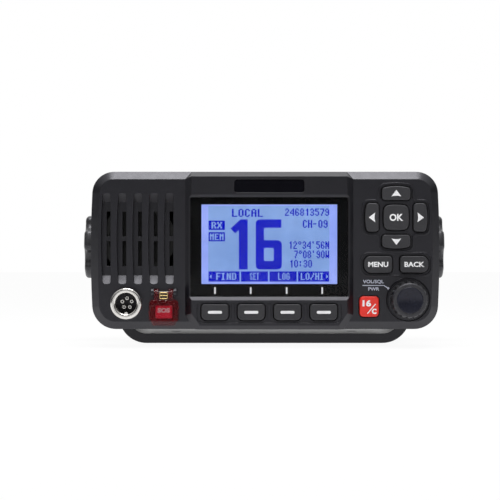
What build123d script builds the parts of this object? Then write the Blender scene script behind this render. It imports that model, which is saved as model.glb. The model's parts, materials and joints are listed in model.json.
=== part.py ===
from build123d import *
from math import cos, radians, sin
import os

# A fixed-mount VHF marine radio on a gimbal bracket, in millimetres.
# Row frame: origin at the centre of the bracket's mounting face, +Z up, the front panel faces -Y.
# Panel frame: x across and y up from the panel's centre, z is the height above the panel's face.

# Fits and clearances
RUN_FIT = 0.05            # radial gap of a shaft that turns or slides in its bore
SEAT_FIT = 0.02           # gap of a piece held in its seat
FACE_GAP = 0.05           # gap between flat faces that move past each other
KEY_GAP = 0.4             # gap between a key and its hole
SIDE_PLAY = 0.15          # side gap at the cover's knuckles

# Gimbal bracket
BRACKET_W = 150.0
BRACKET_D = 56.0
BRACKET_T = 4.9
BRACKET_BEND_R = 14.3
ARM_END_R = 17.0
MOUNT_HOLE_R = 2.8
MOUNT_HOLE_PITCH = 93.0

# Clamp knobs
CLAMP_SCREW_R = 3.0
CLAMP_SCREW_ENGAGED = 8.0
CLAMP_SCREW_IN_KNOB = 9.0
CLAMP_SCREW_TIP = 0.75
CLAMP_KNOB_R = 17.0
CLAMP_KNOB_L = 17.8
CLAMP_LOBES = 5
CLAMP_LOBE_PHASE = 20.0
CLAMP_LOBE_EDGE_R = 3.0
CLAMP_SCALLOP_R = 5.0
CLAMP_SCALLOP_DEPTH = 4.0
CLAMP_EDGE_R = 2.0
WASHER_R = 10.0
WASHER_T = 1.2
PAD_R = 13.0
PAD_T = 1.2
INSERT_R = 4.6
INSERT_L = 9.0

# Front panel, key column
DPAD_MARGIN_TOP = 7.2
DPAD_MARGIN_RIGHT = 6.3
DPAD_TO_BLOCK = 5.6
OK_SIZE = 12.6
OK_BOW = 0.6
OK_CORNER_R = 2.6
ARROW_W = 14.0
ARROW_D = 6.9
ARROW_BOW = 1.0
ARROW_CORNER_R = 1.7
DPAD_GAP = 2.15
ROW_GAP = 3.5
MENU_W = 13.9
MENU_H = 8.3
MENU_GAP = 3.8
MENU_OUTER_R = 3.4
MENU_INNER_R = 1.8
KNOB_ROW_GAP = 2.8
WELL_D = 20.8
WELL_MARGIN_BOTTOM = 4.1
WELL_MARGIN_RIGHT = 5.3
CHANNEL_W = 9.4
CHANNEL_H = 10.0
CHANNEL_R = 2.0
CHANNEL_TO_BLOCK = 3.0
CHANNEL_MARGIN_BOTTOM = 6.2
KEY_RISE = 1.5
KEY_TRAVEL = 0.8
KEY_EDGE_R = 0.6
KEY_FLANGE = 0.5
KEY_FLANGE_T = 1.2
WELL_FLOOR = 0.7
WELL_BORDER = 1.1
BEAD_W = 0.7
BEAD_H = 0.35

# Front panel, speaker column
GROOVE_COUNT = 5
GROOVE_PITCH = 7.72
GROOVE_MARGIN_LEFT = 8.06
GROOVE_MARGIN_RIGHT = 7.66
GROOVE_MARGIN_TOP = 10.7
GROOVE_W = 3.9
GROOVE_BOW = 0.8
GROOVE_DEPTH = 3.6
GROOVE_END_SLOPE = 4.2
GROOVE_END_BOW = 0.5
GROOVE_CORNER_R = 1.0
SLIT_W = 1.7
SLIT_OFFSET = 0.75
SLIT_BRIDGE = 2.3
SLIT_END = 4.6
SPEAKER_R = 18.0
SPEAKER_RIM = 3.2
SPEAKER_D = 10.0
SPEAKER_SEAT = 5.2
SPEAKER_SCREW_GRIP = 1.2
SPEAKER_PLATE_MARGIN = 0.5
MEMBRANE_T = 0.4
BASKET_T = 1.2
CONE_D = 6.0
CONE_T = 0.5
CONE_EYE_R = 5.0
MAGNET_R = 10.5
MAGNET_T = 6.0
MAGNET_BORE_R = 4.0
LOWER_ROW_H = 22.2

# Front panel, centre block
BLOCK_W = 76.0
BLOCK_H = 3.2
BLOCK_MARGIN_TOP = 2.5
BLOCK_MARGIN_BOTTOM = 1.95
BLOCK_CUT_W = 4.0
BLOCK_CUT_H = 6.0
BADGE_W = 34.2
BADGE_H = 6.4
BADGE_R = 1.4
BADGE_MARGIN = 1.5
BADGE_DEPTH = 0.8
BADGE_T = 0.6
BADGE_EDGE = 0.2
BADGE_TO_LIP = 1.1
LIP_TOP = 1.2
LIP_BOTTOM = 1.76
LIP_TO_TRAY = 0.6
TRAY_H = 10.4
TRAY_EDGE = 2.6
TRAY_DEPTH = 0.9
TRAY_MARGIN_BOTTOM = 1.35
SOFT_KEYS = 4
SOFT_GAP = 4.3
SOFT_BORDER = 1.25
SOFT_TOP_R = 1.5
SOFT_BOTTOM_R = 2.6
RIB_W = 1.5
RIB_H = 0.4

# Display
WINDOW_LAND = 0.5
WINDOW_SINK = 1.15
WINDOW_T = 1.6
WINDOW_R = 0.8
MASK_T = 0.2
VIEW_BORDER_SIDE = 5.4
VIEW_BORDER_TOP = 3.5
VIEW_BORDER_BOTTOM = 6.2
GLASS_BORDER = 1.8
GLASS_T = 2.0

# Bezel moulding
PANEL_GAP = 9.0
PANEL_REACH = 74.0
TILT_RISE = 1.3
SIDE_BOW = 1.4
TOP_CORNER_R = 10.8
BOTTOM_CORNER_R = 11.8
BEVEL = 3.8
BEZEL_D = 25.0
BEZEL_WALL = 2.5
FACE_T = 3.2
CASE_SCREW_SIDE_INSET = 6.1
CASE_SCREW_TOP_INSET = 6.7
CASE_SCREW_R = 1.45
CASE_SCREW_GRIP = 12.0
CASE_SCREW_HEAD_R = 2.7
CASE_SCREW_HEAD_T = 2.0
BOSS_WALL = 1.85
POST_R = 2.5
UPPER_POST_DROP = 7.2
UPPER_LEFT_POST_SHIFT = 2.7
UPPER_RIGHT_POST_SHIFT = 2.8
LOWER_LEFT_POST_SHIFT = 2.2
LOWER_LEFT_POST_RISE = 1.2
LOWER_RIGHT_POST_SHIFT = 1.3
LOWER_RIGHT_POST_RISE = 3.2

# Distress switch
COVER_TO_BLOCK = 3.15
COVER_W = 14.5
COVER_H = 11.0
COVER_WALL = 1.0
COVER_R = 2.0
COVER_TOP = 4.9
COVER_LIFT = 0.35
COVER_LIP_W = 11.6
COVER_LIP_H = 1.55
COVER_LIP_T = 2.2
COVER_MARGIN_BOTTOM = 1.95
HINGE_ABOVE_COVER = 3.6
HINGE_HEIGHT = 2.6
KNUCKLE_R = 1.9
KNUCKLE_W = 2.35
KNUCKLE_SPACE = 4.7
EAR_W = 1.35
HINGE_PIN_R = 0.75
SPRING_WIRE_R = 0.25
SPRING_LOOP_L = 2.95
SPRING_BEND_R = 0.5
SPRING_BAR_AT = 1.45
DISTRESS_W = 8.1
DISTRESS_H = 6.1
DISTRESS_R = 0.8
DISTRESS_TOP = 2.4
DISTRESS_TRAVEL = 1.0
DISTRESS_DROP = 0.4

# Microphone socket
MIC_MARGIN_LEFT = 17.9
MIC_MARGIN_BOTTOM = 12.8
MIC_SHELL_R = 7.65
MIC_BORE_R = 5.1
MIC_PROUD = 6.0
MIC_NECK_R = 6.4
MIC_NECK_L = 8.5
MIC_EDGE_R = 1.0
MIC_NUT_R = 8.2
MIC_NUT_T = 2.4
MIC_FLOOR = 4.0
MIC_KEY_R = 0.9
PIN_COUNT = 5
PIN_CIRCLE_R = 2.45
PIN_R = 1.0
PIN_BORE_R = 0.4
PIN_BORE_L = 4.0
PIN_PROUD = 1.2
PIN_EDGE = 0.25
PIN_TAIL = 3.0

# Volume control
VOLUME_KNOB_R = 9.2
VOLUME_KNOB_L = 11.0
VOLUME_TAPER = 0.9
VOLUME_TRAVEL = 0.6
VOLUME_FLUTES = 18
VOLUME_FLUTE_R = 1.0
VOLUME_SKIRT_H = 1.8
VOLUME_SHELL = 2.2
VOLUME_HOLLOW = 4.6
VOLUME_CAP_R = 6.4
VOLUME_CAP_T = 1.6
VOLUME_CAP_PROUD = 0.4
VOLUME_SKIRT_GAP = 0.9
VOLUME_DISH = 1.0
ENCODER_SHAFT_R = 3.0
ENCODER_BODY = 10.5
ENCODER_NECK_R = 4.3
ENCODER_NECK_TOP = 2.8
SHAFT_IN_KNOB = 4.6
SHAFT_EDGE = 0.4
PLUNGER_T = 1.6
ENCODER_BACK_T = 0.5

# Boards behind the panel
BOARD_FRONT = 9.5
BOARD_T = 1.6
BOARD_MARGIN = 0.8
MAT_T = 1.2
MAT_STUD_R = 2.4
MAT_INSET = 0.4
STUD_CLEARANCE = 0.25
BOARD_SCREW_R = 0.95
BOARD_SCREW_GRIP = 4.0
BOARD_SCREW_HEAD_R = 2.0
BOARD_SCREW_HEAD_T = 1.2

# Rear chassis
GASKET_T = 1.0
GASKET_INSET = 0.45
FLANGE_T = 4.0
FLANGE_INSET = 0.6
CHASSIS_H = 66.0
CHASSIS_R = 8.0
CHASSIS_WALL = 3.0
CHASSIS_REACH = 46.0
BOSS_R = 14.0
BOSS_RISE = 2.8
BOSS_INNER_R = 7.5
FIN_COUNT = 17
FIN_T = 2.4
FIN_D = 12.0
FIN_DRAFT = 2.0
FIN_ZONE_H = 38.0
TOP_RIB_COUNT = 9
TOP_RIB_H = 1.4
TOP_RIB_L = 70.0
CONNECTOR_DROP = 20.5
CONNECTOR_PITCH = 30.0

# Pieces inside the chassis and at its rear
MAIN_BOARD_L = 76.0
MAIN_BOARD_GAP = 3.0
STANDOFF_H = 6.0
STANDOFF_R = 3.0
STANDOFF_INSET = 7.0
SHIELD_W = 46.0
SHIELD_D = 36.0
SHIELD_H = 10.0
SHIELD_T = 0.6
MODULE_W = 44.0
MODULE_D = 14.0
MODULE_H = 18.0
RIBBON_W = 24.0
RIBBON_T = 0.4
PLUG_D = 4.0
PLUG_H = 5.0
PLUG_RISE = 15.0
SOCKET_R = 7.9
SOCKET_L = 16.0
SOCKET_FLANGE = 24.0
SOCKET_FLANGE_T = 2.0
SOCKET_BORE_R = 5.9
SOCKET_NECK_R = 7.0
SOCKET_EDGE = 0.5
CONTACT_R = 2.0
CONTACT_BORE_R = 1.2
INSULATOR_SINK = 2.0
GLAND_R = 6.0
GLAND_BORE_R = 2.6
GLAND_L = 10.0
GLAND_STEP = 1.6
DATA_SCALE = 0.75

# Worked out from the sizes above
DPAD_OFFSET = OK_SIZE / 2 + DPAD_GAP + ARROW_D / 2
DPAD_HALF = DPAD_OFFSET + ARROW_D / 2
PANEL_H = (DPAD_MARGIN_TOP + 2 * DPAD_HALF + ROW_GAP + MENU_H + KNOB_ROW_GAP + WELL_D
           + WELL_MARGIN_BOTTOM)
SPEAKER_ZONE = GROOVE_MARGIN_LEFT + (GROOVE_COUNT - 1) * GROOVE_PITCH + GROOVE_MARGIN_RIGHT
BLOCK_FOOT = BLOCK_W + 2 * BLOCK_H
KEY_ZONE = DPAD_TO_BLOCK + 2 * DPAD_HALF + DPAD_MARGIN_RIGHT
PANEL_W = SPEAKER_ZONE + BLOCK_FOOT + KEY_ZONE
TOP = PANEL_H / 2
RIGHT = PANEL_W / 2
BLOCK_LEFT = SPEAKER_ZONE - RIGHT
BLOCK_RIGHT = BLOCK_LEFT + BLOCK_FOOT
BLOCK_X = (BLOCK_LEFT + BLOCK_RIGHT) / 2
DPAD_AT = (RIGHT - DPAD_MARGIN_RIGHT - DPAD_HALF, TOP - DPAD_MARGIN_TOP - DPAD_HALF)
MENU_Y = DPAD_AT[1] - DPAD_HALF - ROW_GAP - MENU_H / 2
MENU_OFFSET = (MENU_W + MENU_GAP) / 2
KNOB_AT = (RIGHT - WELL_MARGIN_RIGHT - WELL_D / 2, WELL_MARGIN_BOTTOM + WELL_D / 2 - TOP)
CHANNEL_AT = (BLOCK_RIGHT + CHANNEL_TO_BLOCK + CHANNEL_W / 2,
              CHANNEL_MARGIN_BOTTOM + CHANNEL_H / 2 - TOP)
TRAY_W = BLOCK_W - 2 * TRAY_EDGE
SOFT_PITCH = TRAY_W / SOFT_KEYS
SOFT_W = SOFT_PITCH - SOFT_GAP
SOFT_H = TRAY_H - 2 * SOFT_BORDER
SOFT_Y = BLOCK_MARGIN_BOTTOM + TRAY_MARGIN_BOTTOM + TRAY_H / 2 - TOP
SOFT_XS = [BLOCK_X + (n - (SOFT_KEYS - 1) / 2) * SOFT_PITCH for n in range(SOFT_KEYS)]
BADGE_Y = TOP - BLOCK_MARGIN_TOP - BADGE_MARGIN - BADGE_H / 2
WINDOW_TOP = BADGE_Y - BADGE_H / 2 - BADGE_TO_LIP - LIP_TOP
WINDOW_BOTTOM = SOFT_Y + TRAY_H / 2 + LIP_TO_TRAY + LIP_BOTTOM
WINDOW_Y = (WINDOW_TOP + WINDOW_BOTTOM) / 2
WINDOW_H = WINDOW_TOP - WINDOW_BOTTOM
WINDOW_W = BLOCK_W + 2 * WINDOW_SINK - 2 * WINDOW_LAND
WINDOW_FRONT = BLOCK_H - WINDOW_SINK
WINDOW_BACK = WINDOW_FRONT - WINDOW_T
GLASS_FRONT = WINDOW_BACK - MASK_T
VIEW_W = WINDOW_W - 2 * VIEW_BORDER_SIDE
VIEW_H = WINDOW_H - VIEW_BORDER_TOP - VIEW_BORDER_BOTTOM
VIEW_AT = (BLOCK_X, WINDOW_TOP - VIEW_BORDER_TOP - VIEW_H / 2)
GLASS_W = VIEW_W + 2 * GLASS_BORDER
GLASS_H = VIEW_H + 2 * GLASS_BORDER
GROOVE_XS = [GROOVE_MARGIN_LEFT + n * GROOVE_PITCH - RIGHT for n in range(GROOVE_COUNT)]
GROOVE_L = PANEL_H - GROOVE_MARGIN_TOP - LOWER_ROW_H
GROOVE_Y = TOP - GROOVE_MARGIN_TOP - GROOVE_L / 2
SPEAKER_AT = ((GROOVE_XS[0] + GROOVE_XS[-1]) / 2, GROOVE_Y)
MIC_AT = (MIC_MARGIN_LEFT - RIGHT, MIC_MARGIN_BOTTOM - TOP)
COVER_X = BLOCK_LEFT - COVER_TO_BLOCK - COVER_W / 2
COVER_Y = COVER_MARGIN_BOTTOM + COVER_LIP_H + COVER_H / 2 - TOP
HINGE_Y = COVER_Y + COVER_H / 2 + HINGE_ABOVE_COVER
DISTRESS_AT = (COVER_X, COVER_Y - DISTRESS_DROP)
KNUCKLE_X = (KNUCKLE_SPACE + KNUCKLE_W) / 2
EAR_X = KNUCKLE_SPACE / 2 + KNUCKLE_W + SIDE_PLAY + EAR_W / 2
BOARD_BACK = BOARD_FRONT + BOARD_T
CASE_SCREW_X = RIGHT - SIDE_BOW - CASE_SCREW_SIDE_INSET
CASE_SCREW_XS = (-CASE_SCREW_X, CASE_SCREW_X)
CASE_SCREW_YS = (CASE_SCREW_TOP_INSET - TOP, TOP - CASE_SCREW_TOP_INSET)
BEZEL_BOSS_R = CASE_SCREW_R + BOSS_WALL
POSTS = [(BLOCK_LEFT + UPPER_LEFT_POST_SHIFT, TOP - UPPER_POST_DROP),
         (BLOCK_RIGHT + UPPER_RIGHT_POST_SHIFT, TOP - UPPER_POST_DROP),
         (BLOCK_LEFT + LOWER_LEFT_POST_SHIFT, WINDOW_BOTTOM + LOWER_LEFT_POST_RISE),
         (BLOCK_RIGHT - LOWER_RIGHT_POST_SHIFT, WINDOW_BOTTOM + LOWER_RIGHT_POST_RISE)]
GASKET_BACK = -(BEZEL_D + GASKET_T)
FLANGE_BACK = GASKET_BACK - FLANGE_T
CHASSIS_BACK = -(PANEL_REACH + CHASSIS_REACH)
CAVITY_BACK = CHASSIS_BACK + CHASSIS_WALL
ARM_INNER = BRACKET_W / 2 - BRACKET_T
BOSS_FACE = ARM_INNER - FACE_GAP - PAD_T
CHASSIS_W = 2 * (BOSS_FACE - BOSS_RISE)
CAVITY_W = CHASSIS_W - 2 * CHASSIS_WALL
CAVITY_H = CHASSIS_H - 2 * CHASSIS_WALL
CONNECTOR_Y = -CONNECTOR_DROP
SOCKET_X = CONNECTOR_PITCH
POWER_X = -CONNECTOR_PITCH
DATA_X = 0.0
STANDOFF_TOP = STANDOFF_H - CAVITY_H / 2
PLUG_Y = STANDOFF_TOP + PLUG_RISE
PLUNGER_FRONT = ENCODER_BACK_T + VOLUME_TRAVEL + PLUNGER_T + FACE_GAP - BOARD_FRONT
MAIN_BOARD_W = CAVITY_W - 2 * MAIN_BOARD_GAP
MAIN_BOARD_BACK = CAVITY_BACK + MAIN_BOARD_GAP
MAIN_BOARD_FRONT = MAIN_BOARD_BACK + MAIN_BOARD_L
PANEL_Z = PANEL_GAP + PANEL_H / 2
TILT_Z = PANEL_Z + TILT_RISE
PANEL = Location(Plane(origin=(0, -PANEL_REACH, PANEL_Z), x_dir=(1, 0, 0), z_dir=(0, -1, 0)))
STANDING = Location(Plane(origin=(0, 0, 0), x_dir=(1, 0, 0), z_dir=(0, 1, 0)))
AXIS = Location(Plane(origin=(0, 0, TILT_Z), x_dir=(0, 1, 0), z_dir=(1, 0, 0)))


def prism(sketch, low, high):
    """Solid over a sketch, from one height to another."""
    return Pos(0, 0, low) * extrude(sketch, high - low)


def tube(outer_r, inner_r, low, high):
    """Ring-shaped solid about z."""
    return prism(Circle(outer_r) - Circle(inner_r), low, high)


def turned(*points):
    """Solid turned about z from a closed profile of (radius, height) points."""
    return revolve(Plane.XZ * make_face(Polyline(*points, close=True)), Axis.Z)


def front_edges(solid):
    """Edges of a solid's highest flat face."""
    return solid.edges().group_by(Axis.Z)[-1]


def patch(width, height, bows, radii):
    """Four-sided sketch; edges bow outwards and corners are rounded, clockwise from the top and top left."""
    x, y = width / 2, height / 2
    points = [(-x, y), (x, y), (x, -y), (-x, -y)]
    outward = [(0, 1), (1, 0), (0, -1), (-1, 0)]
    edges = []
    for n, bow in enumerate(bows):
        start, end = points[n], points[(n + 1) % 4]
        middle = tuple((a + b) / 2 + bow * c for a, b, c in zip(start, end, outward[n]))
        edges.append(ThreePointArc(start, middle, end) if bow else Line(start, end))
    face = make_face(edges)
    for point, radius in zip(points, radii):
        face = fillet(face.vertices().sort_by_distance(point)[0], radius)
    return face


def outline(inset=0.0):
    """Panel outline: straight top and bottom, bowed sides, rounded corners."""
    top_r, bottom_r = TOP_CORNER_R - inset, BOTTOM_CORNER_R - inset
    return patch(PANEL_W - 2 * SIDE_BOW - 2 * inset, PANEL_H - 2 * inset,
                 (0, SIDE_BOW, 0, SIDE_BOW), (top_r, top_r, bottom_r, bottom_r))


def corner_places(xs, ys):
    """Every pairing of the given places across and up."""
    return [Pos(x, y) for x in xs for y in ys]


# Key outlines, each about its own centre unless said otherwise; grow widens them on all sides

def ok_outline(grow):
    side = OK_SIZE - 2 * OK_BOW + 2 * grow
    return patch(side, side, [OK_BOW] * 4, [OK_CORNER_R + grow] * 4)


def arrow_outline(turn, grow):
    """Arrow key about the centre of the key cross, turned anticlockwise from the upper one."""
    shape = patch(ARROW_W + 2 * grow, ARROW_D - ARROW_BOW + 2 * grow, (ARROW_BOW, 0, 0, 0),
                  [ARROW_CORNER_R + grow] * 4)
    return Rot(0, 0, turn) * Pos(0, DPAD_OFFSET - ARROW_BOW / 2) * shape


def menu_outline(side, grow):
    """Key of the middle row; side is -1 for the left one and 1 for the right one."""
    outer, inner = MENU_OUTER_R + grow, MENU_INNER_R + grow
    left, right = (outer, inner) if side < 0 else (inner, outer)
    return patch(MENU_W + 2 * grow, MENU_H + 2 * grow, (0, 0, 0, 0), (left, right, right, left))


def channel_outline(grow):
    return RectangleRounded(CHANNEL_W + 2 * grow, CHANNEL_H + 2 * grow, CHANNEL_R + grow)


def soft_outline(grow):
    top_r, bottom_r = SOFT_TOP_R + grow, SOFT_BOTTOM_R + grow
    return patch(SOFT_W + 2 * grow, SOFT_H + 2 * grow, (0, 0, 0, 0), (top_r, top_r, bottom_r, bottom_r))


def distress_outline(grow):
    return RectangleRounded(DISTRESS_W + 2 * grow, DISTRESS_H + 2 * grow, DISTRESS_R + grow)


def placed_keys(grow=0.0):
    """Name, outline in its place, and height of the panel around it, for every key."""
    keys = [(name + "_key", Pos(*DPAD_AT) * arrow_outline(turn, grow), 0)
            for name, turn in (("up", 0), ("left", 90), ("down", 180), ("right", 270))]
    keys.append(("ok_key", Pos(*DPAD_AT) * ok_outline(grow), 0))
    keys.append(("menu_key", Pos(DPAD_AT[0] - MENU_OFFSET, MENU_Y) * menu_outline(-1, grow), 0))
    keys.append(("back_key", Pos(DPAD_AT[0] + MENU_OFFSET, MENU_Y) * menu_outline(1, grow), 0))
    keys.append(("channel_key", Pos(*CHANNEL_AT) * channel_outline(grow), 0))
    for n, x in enumerate(SOFT_XS):
        keys.append((f"soft_key_{n + 1}", Pos(x, SOFT_Y) * soft_outline(grow), BLOCK_H - TRAY_DEPTH))
    return keys


def key_piece(shape, flange, level):
    """Key cap with a rounded edge, held behind the panel by its flange."""
    base = -FACE_T - KEY_FLANGE_T
    cap = prism(shape, base, level + KEY_RISE)
    cap = fillet(front_edges(cap), KEY_EDGE_R)
    return cap + prism(flange, base, -FACE_T - FACE_GAP)


# Bracket and clamp knobs

def gimbal_bracket():
    tall = 2 * TILT_Z
    strip = Pos(0, tall / 2) * RectangleRounded(BRACKET_W, tall, BRACKET_BEND_R)
    strip -= Pos(0, tall / 2 + BRACKET_T) * RectangleRounded(2 * ARM_INNER, tall,
                                                            BRACKET_BEND_R - BRACKET_T)
    foot = Pos(0, BRACKET_BEND_R / 2) * Rectangle(BRACKET_D, BRACKET_BEND_R)
    arm_end = Pos(0, TILT_Z) * Circle(ARM_END_R)
    side = make_hull(foot.edges() + arm_end.edges())
    body = extrude(Plane.XZ * strip, BRACKET_D / 2, both=True)
    body &= extrude(Plane.YZ * side, BRACKET_W / 2, both=True)
    body -= AXIS * Cylinder(CLAMP_SCREW_R + RUN_FIT, BRACKET_W)
    for x in (-MOUNT_HOLE_PITCH / 2, MOUNT_HOLE_PITCH / 2):
        body -= Pos(x, 0, BRACKET_T / 2) * Cylinder(MOUNT_HOLE_R, BRACKET_T)
    return body


def clamp_washer():
    start = BRACKET_W / 2 + FACE_GAP
    return tube(WASHER_R, CLAMP_SCREW_R + RUN_FIT, start, start + WASHER_T)


def clamp_knob():
    """Lobed grip with rounded edges and a blind bore for its screw."""
    start = BRACKET_W / 2 + 2 * FACE_GAP + WASHER_T
    scallop = Pos(CLAMP_KNOB_R + CLAMP_SCALLOP_R - CLAMP_SCALLOP_DEPTH, 0) * Circle(CLAMP_SCALLOP_R)
    grip = Circle(CLAMP_KNOB_R)
    for n in range(CLAMP_LOBES):
        grip -= Rot(0, 0, CLAMP_LOBE_PHASE + (n + 0.5) * 360 / CLAMP_LOBES) * scallop
    corners = grip.vertices().filter_by(lambda v: Vector(v).length > CLAMP_KNOB_R - FACE_GAP)
    grip = fillet(corners, CLAMP_LOBE_EDGE_R)
    body = prism(grip, start, start + CLAMP_KNOB_L)
    body = fillet(front_edges(body), CLAMP_EDGE_R)
    return body - prism(Circle(CLAMP_SCREW_R + SEAT_FIT), start, start + CLAMP_SCREW_IN_KNOB)


def clamp_screw():
    end = BRACKET_W / 2 + 2 * FACE_GAP + WASHER_T + CLAMP_SCREW_IN_KNOB
    shank = prism(Circle(CLAMP_SCREW_R), BOSS_FACE - CLAMP_SCREW_ENGAGED, end)
    return chamfer(shank.edges().sort_by(Axis.Z)[0], CLAMP_SCREW_TIP)


def side_insert():
    return tube(INSERT_R, CLAMP_SCREW_R + RUN_FIT, BOSS_FACE - INSERT_L, BOSS_FACE)


def arm_pad():
    return tube(PAD_R, INSERT_R, BOSS_FACE, BOSS_FACE + PAD_T)


def on_right(solid):
    return AXIS * solid


def on_left(solid):
    return mirror(AXIS * solid, about=Plane.YZ)


def on_both(solid):
    return on_right(solid) + on_left(solid)


# Front bezel

def block_face():
    """Flat top of the centre block, with its lower corners cut off."""
    left, right = BLOCK_X - BLOCK_W / 2, BLOCK_X + BLOCK_W / 2
    top, bottom = TOP - BLOCK_MARGIN_TOP, BLOCK_MARGIN_BOTTOM - TOP
    points = [(left, top), (right, top), (right, bottom + BLOCK_CUT_H), (right - BLOCK_CUT_W, bottom),
              (left + BLOCK_CUT_W, bottom), (left, bottom + BLOCK_CUT_H)]
    return make_face(Polyline(*points, close=True))


def centre_block():
    """Raised block with 45 degree flanks; its upper edge slopes down to the panel's outline."""
    foot = offset(block_face(), BLOCK_H, kind=Kind.INTERSECTION)
    block = prism(foot, -BEVEL, 0) + loft([foot, Pos(0, 0, BLOCK_H) * block_face()], ruled=True)
    roof = make_face(Polyline((TOP, -BEVEL), (TOP - BLOCK_MARGIN_TOP, BLOCK_H), (-TOP, BLOCK_H),
                              (-TOP, -BEVEL), close=True))
    block &= extrude(Plane.YZ * roof, RIGHT, both=True)
    for side in (-1, 1):
        edge = BLOCK_X + side * BLOCK_W / 2
        low = Vector(edge, TOP, -BEVEL)
        to_face = Vector(edge, TOP - BLOCK_MARGIN_TOP, BLOCK_H) - low
        to_foot = Vector(edge + side * BLOCK_H, TOP - BEVEL, 0) - low
        facet = Plane(low, x_dir=to_face, z_dir=to_foot.cross(to_face) * side)
        block = split(block, bisect_by=facet, keep=Keep.TOP)
    return block & prism(outline(), -BEVEL, BLOCK_H)


def window_recess():
    """Step across the block with sloping lips, and the pocket and opening for the display."""
    profile = make_face(Polyline((WINDOW_BOTTOM, WINDOW_FRONT), (WINDOW_TOP, WINDOW_FRONT),
                                 (WINDOW_TOP + LIP_TOP, BLOCK_H), (WINDOW_BOTTOM - LIP_BOTTOM, BLOCK_H),
                                 close=True))
    step = extrude(Plane.YZ * profile, BLOCK_FOOT / 2, both=True)
    pocket = Pos(BLOCK_X, WINDOW_Y) * window_outline(SEAT_FIT)
    opening = Pos(*VIEW_AT) * Rectangle(GLASS_W + 2 * FACE_GAP, GLASS_H + 2 * FACE_GAP)
    return Pos(BLOCK_X, 0, 0) * step + prism(pocket, GLASS_FRONT, WINDOW_FRONT) + prism(
        opening, -FACE_T, GLASS_FRONT)


def soft_key_tray():
    """Shallow tray for the soft keys, with a rib left standing between each pair."""
    tray = prism(Pos(BLOCK_X, SOFT_Y) * RectangleRounded(TRAY_W, TRAY_H, SOFT_BOTTOM_R),
                 BLOCK_H - TRAY_DEPTH, BLOCK_H)
    for left, right in zip(SOFT_XS, SOFT_XS[1:]):
        rib = Pos((left + right) / 2, SOFT_Y) * Rectangle(RIB_W, SOFT_H)
        tray -= prism(rib, BLOCK_H - TRAY_DEPTH, BLOCK_H - TRAY_DEPTH + RIB_H)
    return tray


def cross_well(grow=0.0):
    """Outline of the well round the key cross, with bevelled inner corners."""
    border = WELL_BORDER + grow
    length = 2 * (DPAD_HALF + border - ARROW_BOW)
    bows = (ARROW_BOW, 0, ARROW_BOW, 0)
    bar = patch(ARROW_W + 2 * border, length, bows, [ARROW_CORNER_R + border] * 4)
    cross = bar + Rot(0, 0, 90) * bar
    inner = cross.vertices().sort_by_distance((0, 0))[:4]
    return Pos(*DPAD_AT) * chamfer(inner, WELL_BORDER + grow * (2 - 2 ** 0.5))


def menu_well(grow=0.0):
    """Outline of the well round the two keys of the middle row."""
    border = WELL_BORDER + grow
    width = 2 * MENU_W + MENU_GAP + 2 * border
    shape = RectangleRounded(width, MENU_H + 2 * border, MENU_OUTER_R + grow)
    return Pos(DPAD_AT[0], MENU_Y) * shape


def groove():
    """Speaker groove: its left edge bows out, and its ends slope down to its floor."""
    mouth = patch(GROOVE_W, GROOVE_L - 2 * GROOVE_END_BOW, (GROOVE_END_BOW, 0, GROOVE_END_BOW, GROOVE_BOW),
                  [GROOVE_CORNER_R] * 4)
    half = GROOVE_L / 2
    floor = half - GROOVE_END_SLOPE
    side = make_face(Polyline((-half, 0), (half, 0), (floor, -GROOVE_DEPTH), (-floor, -GROOVE_DEPTH),
                              close=True))
    return prism(mouth, -GROOVE_DEPTH, 0) & extrude(Plane.YZ * side, GROOVE_W, both=True)


def slits():
    """Pair of through slits along a groove's floor."""
    whole = GROOVE_L - 2 * GROOVE_END_SLOPE - 2 * SLIT_END
    length = (whole - SLIT_BRIDGE) / 2
    shape = Rectangle(SLIT_W, length)
    offset_y = (length + SLIT_BRIDGE) / 2
    pair = Pos(SLIT_OFFSET, offset_y) * shape + Pos(SLIT_OFFSET, -offset_y) * shape
    return prism(pair, -SPEAKER_SEAT, -GROOVE_DEPTH)


def speaker_plate():
    """Thicker wall behind the grooves, which runs into the casing's side wall."""
    span = (GROOVE_COUNT - 1) * GROOVE_PITCH + GROOVE_W + 2 * GROOVE_BOW
    shape = Pos(SPEAKER_AT[0] - BEZEL_WALL, GROOVE_Y) * Rectangle(
        span + 2 * BEZEL_WALL, GROOVE_L + 2 * SPEAKER_PLATE_MARGIN)
    return prism(shape & outline(BEZEL_WALL / 2), -SPEAKER_SEAT, -FACE_T)


def hinge_ears():
    """Pair of lugs that hold the cover's pin."""
    ear = Pos(0, 0, HINGE_HEIGHT / 2) * Box(EAR_W, 2 * KNUCKLE_R, HINGE_HEIGHT)
    ear += Pos(0, 0, HINGE_HEIGHT) * Rot(0, 90, 0) * Cylinder(KNUCKLE_R, EAR_W)
    ear -= Pos(0, 0, HINGE_HEIGHT) * Rot(0, 90, 0) * Cylinder(HINGE_PIN_R + SEAT_FIT, EAR_W)
    return Pos(COVER_X - EAR_X, HINGE_Y) * ear + Pos(COVER_X + EAR_X, HINGE_Y) * ear


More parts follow.
